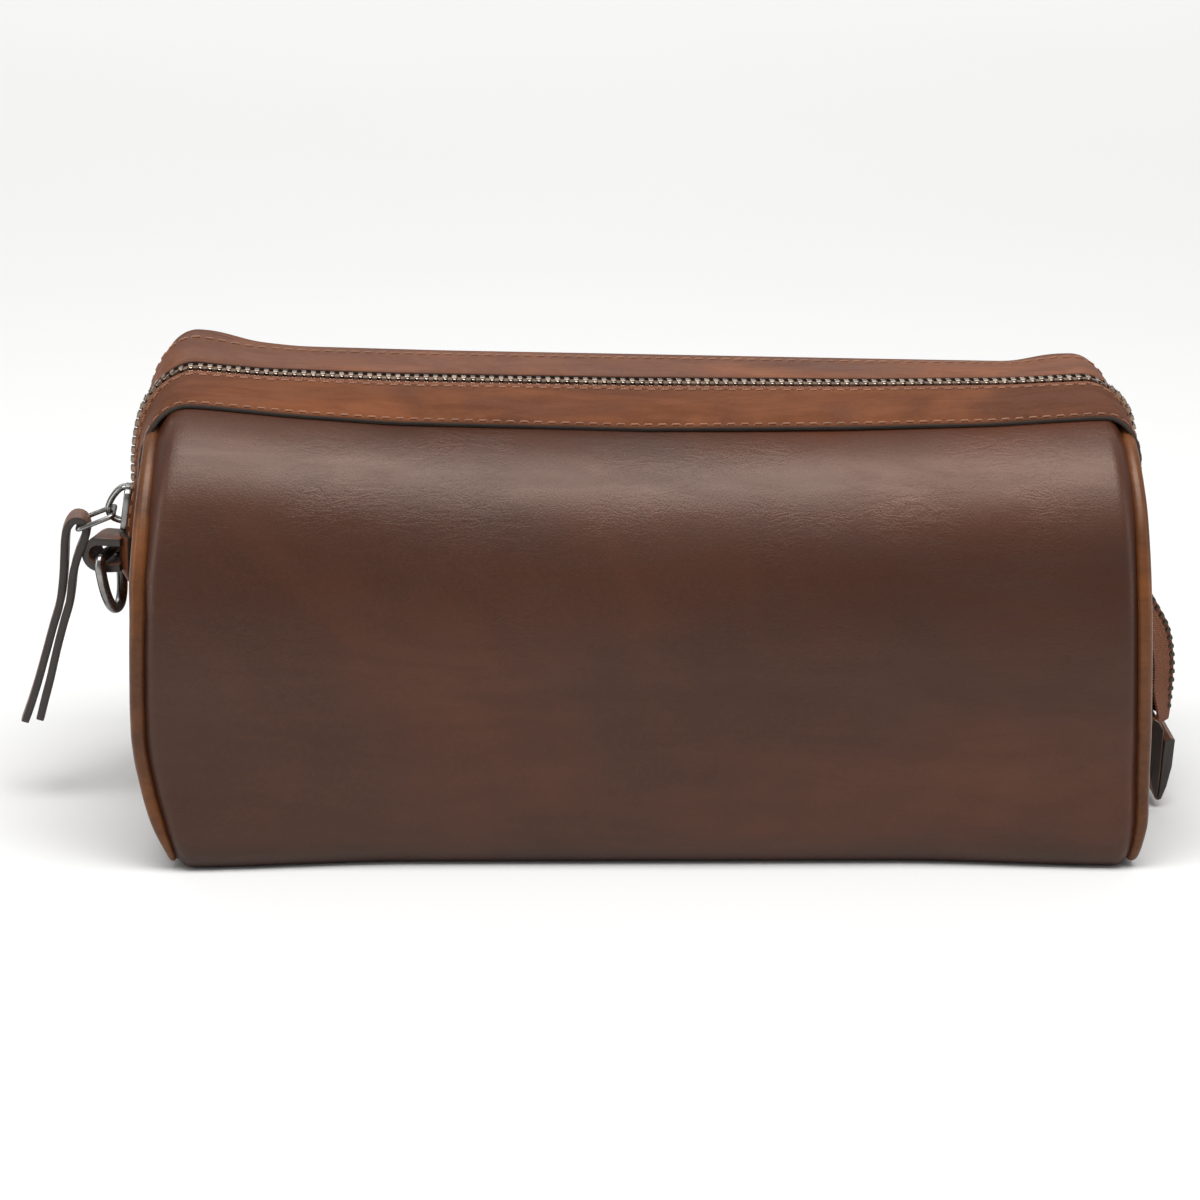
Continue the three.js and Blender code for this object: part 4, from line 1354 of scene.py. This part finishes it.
class WASHBAG_OT_pull(bpy.types.Operator):
    """Hang the wire link and the leather pull on the slider"""

    bl_idname = "washbag.pull"
    bl_label = "Pull"

    def execute(self, context):
        way = LINK_FOLD - LINK_PIVOT
        reach = way.length
        way.normalize()
        loop = [
            LINK_PIVOT + way * out + Vector((0, y, 0))
            for out, y in rounded_loop(0.0053, 0.0, reach, 0.0012)
        ]
        link = wire_piece("pull_wire", loop, 0.00066)
        dress(link, material("metal"))
        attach(link, "pull_link")
        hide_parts("pull_link")

        # Middle lines of the two layers of leather, out from the fold and down.
        outer = [
            (-15.2, -54.6), (-13.3, -49.2), (-11.4, -43.2), (-9.0, -34.7), (-7.0, -27.5),
            (-5.1, -20.9), (-4.1, -13.7), (-3.7, -7.5), (-3.4, -3.0), (-2.75, 0.0), (-1.0, 2.15),
        ]
        inner = [
            (1.2, 1.75), (2.1, -0.4), (1.6, -3.2), (0.0, -7.2), (-1.2, -11.0), (-1.75, -13.9),
            (-2.7, -20.9), (-4.6, -27.5), (-6.5, -34.7), (-8.5, -43.2), (-10.1, -49.2), (-11.3, -54.0),
        ]
        control = [
            (LINK_FOLD.x + out / 1000, 0, LINK_FOLD.z + up / 1000) for out, up in outer + inner
        ]
        line = smooth_line(control, 170)
        along = np.gradient(line, axis=0)
        along /= np.linalg.norm(along, axis=1, keepdims=True)
        normal = np.cross(along, (0.0, 1.0, 0.0))
        steps = np.r_[0, np.cumsum(np.linalg.norm(np.diff(line, axis=0), axis=1))]
        half = 0.0047
        t = np.linspace(-1, 1, 9)
        taper = 1 - 0.25 * np.clip(1 - np.minimum(steps, steps[-1] - steps) / 0.004, 0, 1) ** 2
        crown = 0.00012 * (1 - t**2)
        face = line + normal * 0.0011 * np.sign((normal[:, 2] * 0 + 1))[:, None]
        points = (
            face[:, None]
            + t[None, :, None] * np.array([0, half, 0]) * taper[:, None, None]
            + normal[:, None] * crown[None, :, None]
        )
        uv = np.stack(np.broadcast_arrays(steps[:, None], t[None] * half), -1)
        outward = np.broadcast_to(normal[:, None], points.shape)
        strap = sheet_piece("pull_leather", points, uv, 0.0021, outward, "pull", "edge", 0.00035)
        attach(strap, "pull_strap")
        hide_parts("pull_strap")
        return {"FINISHED"}


RING_BAR = Vector((-0.1420, 0, 0.0695))
RING_TURN = math.radians(16)


class WASHBAG_OT_ring(bpy.types.Operator):
    """Hang the ring from its leather tab over the end of the zip"""

    bl_idname = "washbag.ring"
    bl_label = "Ring and tab"

    def execute(self, context):
        rearwards = Vector((math.sin(RING_TURN), math.cos(RING_TURN), 0))
        outwards = Vector((-math.cos(RING_TURN), math.sin(RING_TURN), 0))
        half, drop = 0.0078, 0.0154
        loop = []
        for k in range(33):
            a = math.pi * k / 32
            loop.append((half * math.cos(a), -0.0016 - (drop - 0.0016) * math.sin(a) ** 0.8))
        loop += [(-half + 0.0003, -0.0006), (-half + 0.0011, 0)]
        loop += [(x, 0) for x in np.linspace(-half + 0.002, half - 0.002, 8)]
        loop += [(half - 0.0011, 0), (half - 0.0003, -0.0006)]
        lean = math.radians(8.5)
        bar = RING_BAR - outwards * 0.0008
        points = [
            bar + rearwards * a + Vector((0, 0, b * math.cos(lean))) + outwards * b * math.sin(lean)
            for a, b in loop
        ]
        ring = wire_piece("ring_wire", points, 0.0015, sides=12)
        dress(ring, material("metal"))
        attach(ring, "hanging_ring")
        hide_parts("hanging_ring")

        # The tab's strap comes off the patch, goes over the bar and back under it.
        round_bar = 0.0047
        path = [(-0.0060, 0.0054), (-0.0040, 0.0053), (-0.0018, 0.0052)]
        turn = np.radians(np.linspace(88, -88, 17))
        path += [(0.0002 + round_bar * math.cos(a), 0.0005 + round_bar * math.sin(a)) for a in turn]
        path += [(-0.0020, -0.0042), (-0.0040, -0.0040), (-0.0060, -0.0037)]
        control = [RING_BAR + outwards * a + Vector((0, 0, b)) for a, b in path]
        line = smooth_line(control, 80)
        along = np.gradient(line, axis=0)
        along /= np.linalg.norm(along, axis=1, keepdims=True)
        side = np.array(rearwards)
        normal = np.cross(side, along)
        if (normal[40] @ np.array(outwards)) < 0:
            normal = -normal
        t = np.linspace(-1, 1, 9)
        points = line[:, None] + t[None, :, None] * side * 0.0055
        steps = np.r_[0, np.cumsum(np.linalg.norm(np.diff(line, axis=0), axis=1))]
        uv = np.stack(np.broadcast_arrays(steps[:, None], t[None] * 0.0055), -1)
        guide = np.broadcast_to(normal[:, None], points.shape)
        tab = sheet_piece("ring_strap", points, uv, 0.0021, guide, "pull", "edge", 0.0003)
        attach(tab, "base")
        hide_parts("ring_tab")

        z, y = np.meshgrid(np.linspace(0.0560, 0.0756, 40), np.linspace(-0.009, 0.009, 25), indexing="ij")
        round_off = np.clip(np.hypot(np.maximum(np.abs(y) - 0.0065, 0), np.maximum(0.0585 - z, 0)) / 0.0035, 0, 1)
        y = y * (1 - 0.10 * smooth(round_off))
        # It lies on the end below, climbs over the ends of the strips, and is domed by the zip.
        lower = seam_x(-1, z) + 0.0009 + 0.0016
        x = lower + (0.1352 - lower) * smooth((z - 0.0580) / 0.0070)
        x = x + 0.0030 * (1 - (y / 0.0092) ** 2) * smooth((z - 0.0585) / 0.0085)
        points = np.stack([-x, y, z], -1)
        patch = sheet_piece(
            "zip_patch", points, points[..., 1:], 0.0014, (-1, 0, 0), "patch", "edge", 0.0003
        )
        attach(patch, "base")
        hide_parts("zip_end_patch")
        return {"FINISHED"}


class WASHBAG_OT_tail(bpy.types.Operator):
    """Hang the zip's free tail and its leather tab at the right end"""

    bl_idname = "washbag.tail"
    bl_label = "Zip tail"

    def execute(self, context):
        control = [
            (0.1361, 0, 0.0668), (0.1366, 0, 0.0656), (0.1376, 0, 0.0641), (0.1396, 0, 0.0622), (0.1417, 0, 0.0596), (0.1446, 0, 0.0550),
            (0.1475, 0, 0.0495), (0.1491, 0, 0.0425), (0.1495, 0, 0.0350), (0.1490, 0, 0.0262),
            (0.1486, 0, 0.0225),
        ]
        line = smooth_line(control, 90)
        steps = np.r_[0, np.cumsum(np.linalg.norm(np.diff(line, axis=0), axis=1))]
        share = steps / steps[-1]
        along = np.gradient(line, axis=0)
        along /= np.linalg.norm(along, axis=1, keepdims=True)
        normal = np.cross((0.0, 1.0, 0.0), along) * -1
        if normal[40][0] < 0:
            normal = -normal
        width = np.array([-0.0115, -0.009, -0.006, -0.004, -0.0028, -0.0012, 0.0012, 0.0028, 0.004, 0.006, 0.009, 0.0115])
        fold = 0.62 * smooth(share / 0.3) * (1 - 0.35 * smooth((share - 0.75) / 0.25))
        flat = 1 - 0.30 * smooth(share / 0.3)
        points = (
            (line - normal * 0.0004)[:, None]
            + width[None, :, None] * np.array([0.0, 1.0, 0.0]) * flat[:, None, None]
            - normal[:, None] * (np.abs(width)[None] * fold[:, None])[..., None]
        )
        uv = np.stack(np.broadcast_arrays(steps[:, None], width[None]), -1)
        guide = np.broadcast_to(normal[:, None], points.shape)
        tape = sheet_piece("tail_tape_cloth", points, uv, 0.0006, guide, "tape")
        template = tooth_template()
        pieces = []
        for face in (-1, 1):
            at = np.arange(0.004 + (0.00125 if face > 0 else 0), steps[-1] - 0.004, sizes().tooth)
            pick = lambda v: np.stack([np.interp(at, steps, v[:, i]) for i in range(3)], 1)
            up = pick(normal)
            across = np.tile((0.0, float(face), 0.0), (len(at), 1))
            pieces.append(
                copies_piece(
                    "tail", template, pick(line) - up * 0.0018, np.cross(across, up), across, up, 30
                )
            )
        discard(template)
        teeth = joined("tail_teeth_metal", pieces)
        # The tail's teeth get the darkened copy of the teeth metal: painted shade.
        dress(teeth, material("teeth_painted_shade"))

        # The tab is folded over the tail's end: two thick leaves that part at the top.
        leaves = []
        for profile in (
            (
                (0.1420, 0.0252), (0.1412, 0.0185), (0.1413, 0.0120), (0.1423, 0.0062),
                (0.1433, 0.0028), (0.1439, 0.0020), (0.1443, 0.0080), (0.1446, 0.0160),
                (0.1448, 0.0224), (0.1434, 0.0246),
            ),
            (
                (0.1480, 0.0198), (0.1475, 0.0120), (0.1463, 0.0062), (0.1450, 0.0026),
                (0.1440, 0.0020), (0.1444, 0.0080), (0.1447, 0.0160), (0.1450, 0.0192),
                (0.1466, 0.0202),
            ),
        ):
            count = len(profile)
            rows = []
            for t in np.linspace(-1, 1, 9):
                for x, z in profile:
                    half = 0.0110 - 0.45 * (0.1448 - x) * (x < 0.1448)
                    rows.append((x, t * half, z))
            faces = [
                (k * count + i, k * count + (i + 1) % count, (k + 1) * count + (i + 1) % count, (k + 1) * count + i)
                for k in range(8)
                for i in range(count)
            ]
            faces += [tuple(range(count)), tuple(range(8 * count, 9 * count))]
            leaf = fresh("leaf", rows, faces)
            outwards_only(leaf)
            dress(leaf, material("pull"), material("edge"))
            for cap in leaf.data.polygons[-2:]:
                cap.material_index = 1
            only(leaf)
            bevel = leaf.modifiers.new("round", "BEVEL")
            bevel.width, bevel.segments, bevel.limit_method = 0.0004, 3, "ANGLE"
            bevel.angle_limit = math.radians(50)
            apply_all(leaf)
            leaves.append(leaf)
        tab = joined("tail_leather", leaves)
        for piece, node, slot in (
            (tape, "tail_tape", "zip_tape"),
            (teeth, "tail_teeth", "zip_metal"),
            (tab, "tail_tab", "pull_leather"),
        ):
            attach(piece, "zip_tail")
            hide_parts(node)
        return {"FINISHED"}


# ---------------------------------------------------------------- stage


def camera():
    azimuth, elevation, roll = (math.radians(v) for v in (-3.1, 16.42, 0.92))
    target = Vector((-0.0090, 0, 0.05608))
    back = Vector(
        (
            math.sin(azimuth) * math.cos(elevation),
            -math.cos(azimuth) * math.cos(elevation),
            math.sin(elevation),
        )
    )
    right = Vector((math.cos(azimuth), math.sin(azimuth), 0))
    up = back.cross(right)
    x = right * math.cos(roll) + up * math.sin(roll)
    y = up * math.cos(roll) - right * math.sin(roll)
    data = bpy.data.cameras.new("camera")
    data.lens = 133.0
    data.sensor_width = 36.0
    data.clip_start = 0.05
    made = bpy.data.objects.new("camera", data)
    bpy.context.scene.collection.objects.link(made)
    turn = Matrix((x, y, back)).transposed().to_4x4()
    made.matrix_world = Matrix.Translation(target + back * 1.2) @ turn
    bpy.context.scene.camera = made


def softbox(name, place, aim, size, power, tone=(1, 1, 1)):
    data = bpy.data.lights.new(name, "AREA")
    data.shape = "RECTANGLE"
    data.size, data.size_y = size
    data.energy = power
    data.color = tone
    made = bpy.data.objects.new(name, data)
    bpy.context.scene.collection.objects.link(made)
    made.location = place
    way = Vector(aim) - Vector(place)
    made.rotation_euler = way.to_track_quat("-Z", "Y").to_euler()


class WASHBAG_OT_stage(bpy.types.Operator):
    """Set the pale floor, the soft light and the camera"""

    bl_idname = "washbag.stage"
    bl_label = "Stage"

    def execute(self, context):
        camera()
        bpy.ops.object.select_all(action="DESELECT")
        bpy.ops.mesh.primitive_plane_add(size=8, location=(0, 0, 0))
        floor = bpy.context.object
        floor.name = "floor"
        look = Look("floor")
        tone = look.blend(look.noise(look.where(), 3, 2), (0.66, 0.66, 0.655), (0.68, 0.68, 0.675))
        dress(floor, look.finish(tone, 0.9))
        softbox("overhead", (0.0, -0.36, 1.05), (0, 0, 0.08), (1.25, 0.60), 16.5)
        softbox("backdrop", (0.0, 1.9, 1.5), (0, 1.9, 0.0), (3.6, 1.6), 40)
        softbox("left", (-1.1, -0.35, 0.40), (0, 0, 0.06), (0.35, 0.8), 2.6)
        softbox("right", (1.1, -0.30, 0.40), (0, 0, 0.06), (0.35, 0.8), 1.5)
        context.scene.view_settings.view_transform = "Standard"
        world = bpy.data.worlds.new("studio")
        bpy.context.scene.world = world
        world.use_nodes = True
        background = world.node_tree.nodes["Background"]
        background.inputs["Color"].default_value = (1.0, 1.0, 1.0, 1.0)
        background.inputs["Strength"].default_value = 0.42
        return {"FINISHED"}


class WASHBAG_PT_panel(bpy.types.Panel):
    """Lists the pieces in the order in which they are made"""

    bl_label = "Leather Wash Bag"
    bl_idname = "WASHBAG_PT_panel"
    bl_space_type = "VIEW_3D"
    bl_region_type = "UI"
    bl_category = "Wash Bag"

    def draw(self, context):
        for operator in OPERATORS:
            self.layout.operator(operator.bl_idname)
        for group in (context.scene.wash_bag_sizes, context.scene.wash_bag_colours):
            box = self.layout.box()
            for name in group.bl_rna.properties.keys():
                if name not in ("rna_type", "name"):
                    box.prop(group, name)


OPERATORS = (
    WASHBAG_OT_stage,
    WASHBAG_OT_wrap,
    WASHBAG_OT_ends,
    WASHBAG_OT_piping,
    WASHBAG_OT_band,
    WASHBAG_OT_stitching,
    WASHBAG_OT_lining,
    WASHBAG_OT_zip,
    WASHBAG_OT_slider,
    WASHBAG_OT_pull,
    WASHBAG_OT_ring,
    WASHBAG_OT_tail,
)
CLASSES = (WashBagSizes, WashBagColours, *OPERATORS, WASHBAG_PT_panel)


def register():
    for made in CLASSES:
        bpy.utils.register_class(made)
    bpy.types.Scene.wash_bag_sizes = bpy.props.PointerProperty(type=WashBagSizes)
    bpy.types.Scene.wash_bag_colours = bpy.props.PointerProperty(type=WashBagColours)


def unregister():
    del bpy.types.Scene.wash_bag_colours
    del bpy.types.Scene.wash_bag_sizes
    for made in reversed(CLASSES):
        bpy.utils.unregister_class(made)


def main():
    register()
    for operator in OPERATORS:
        group, name = operator.bl_idname.split(".")
        getattr(getattr(bpy.ops, group), name)()


if __name__ == "__main__":
    main()
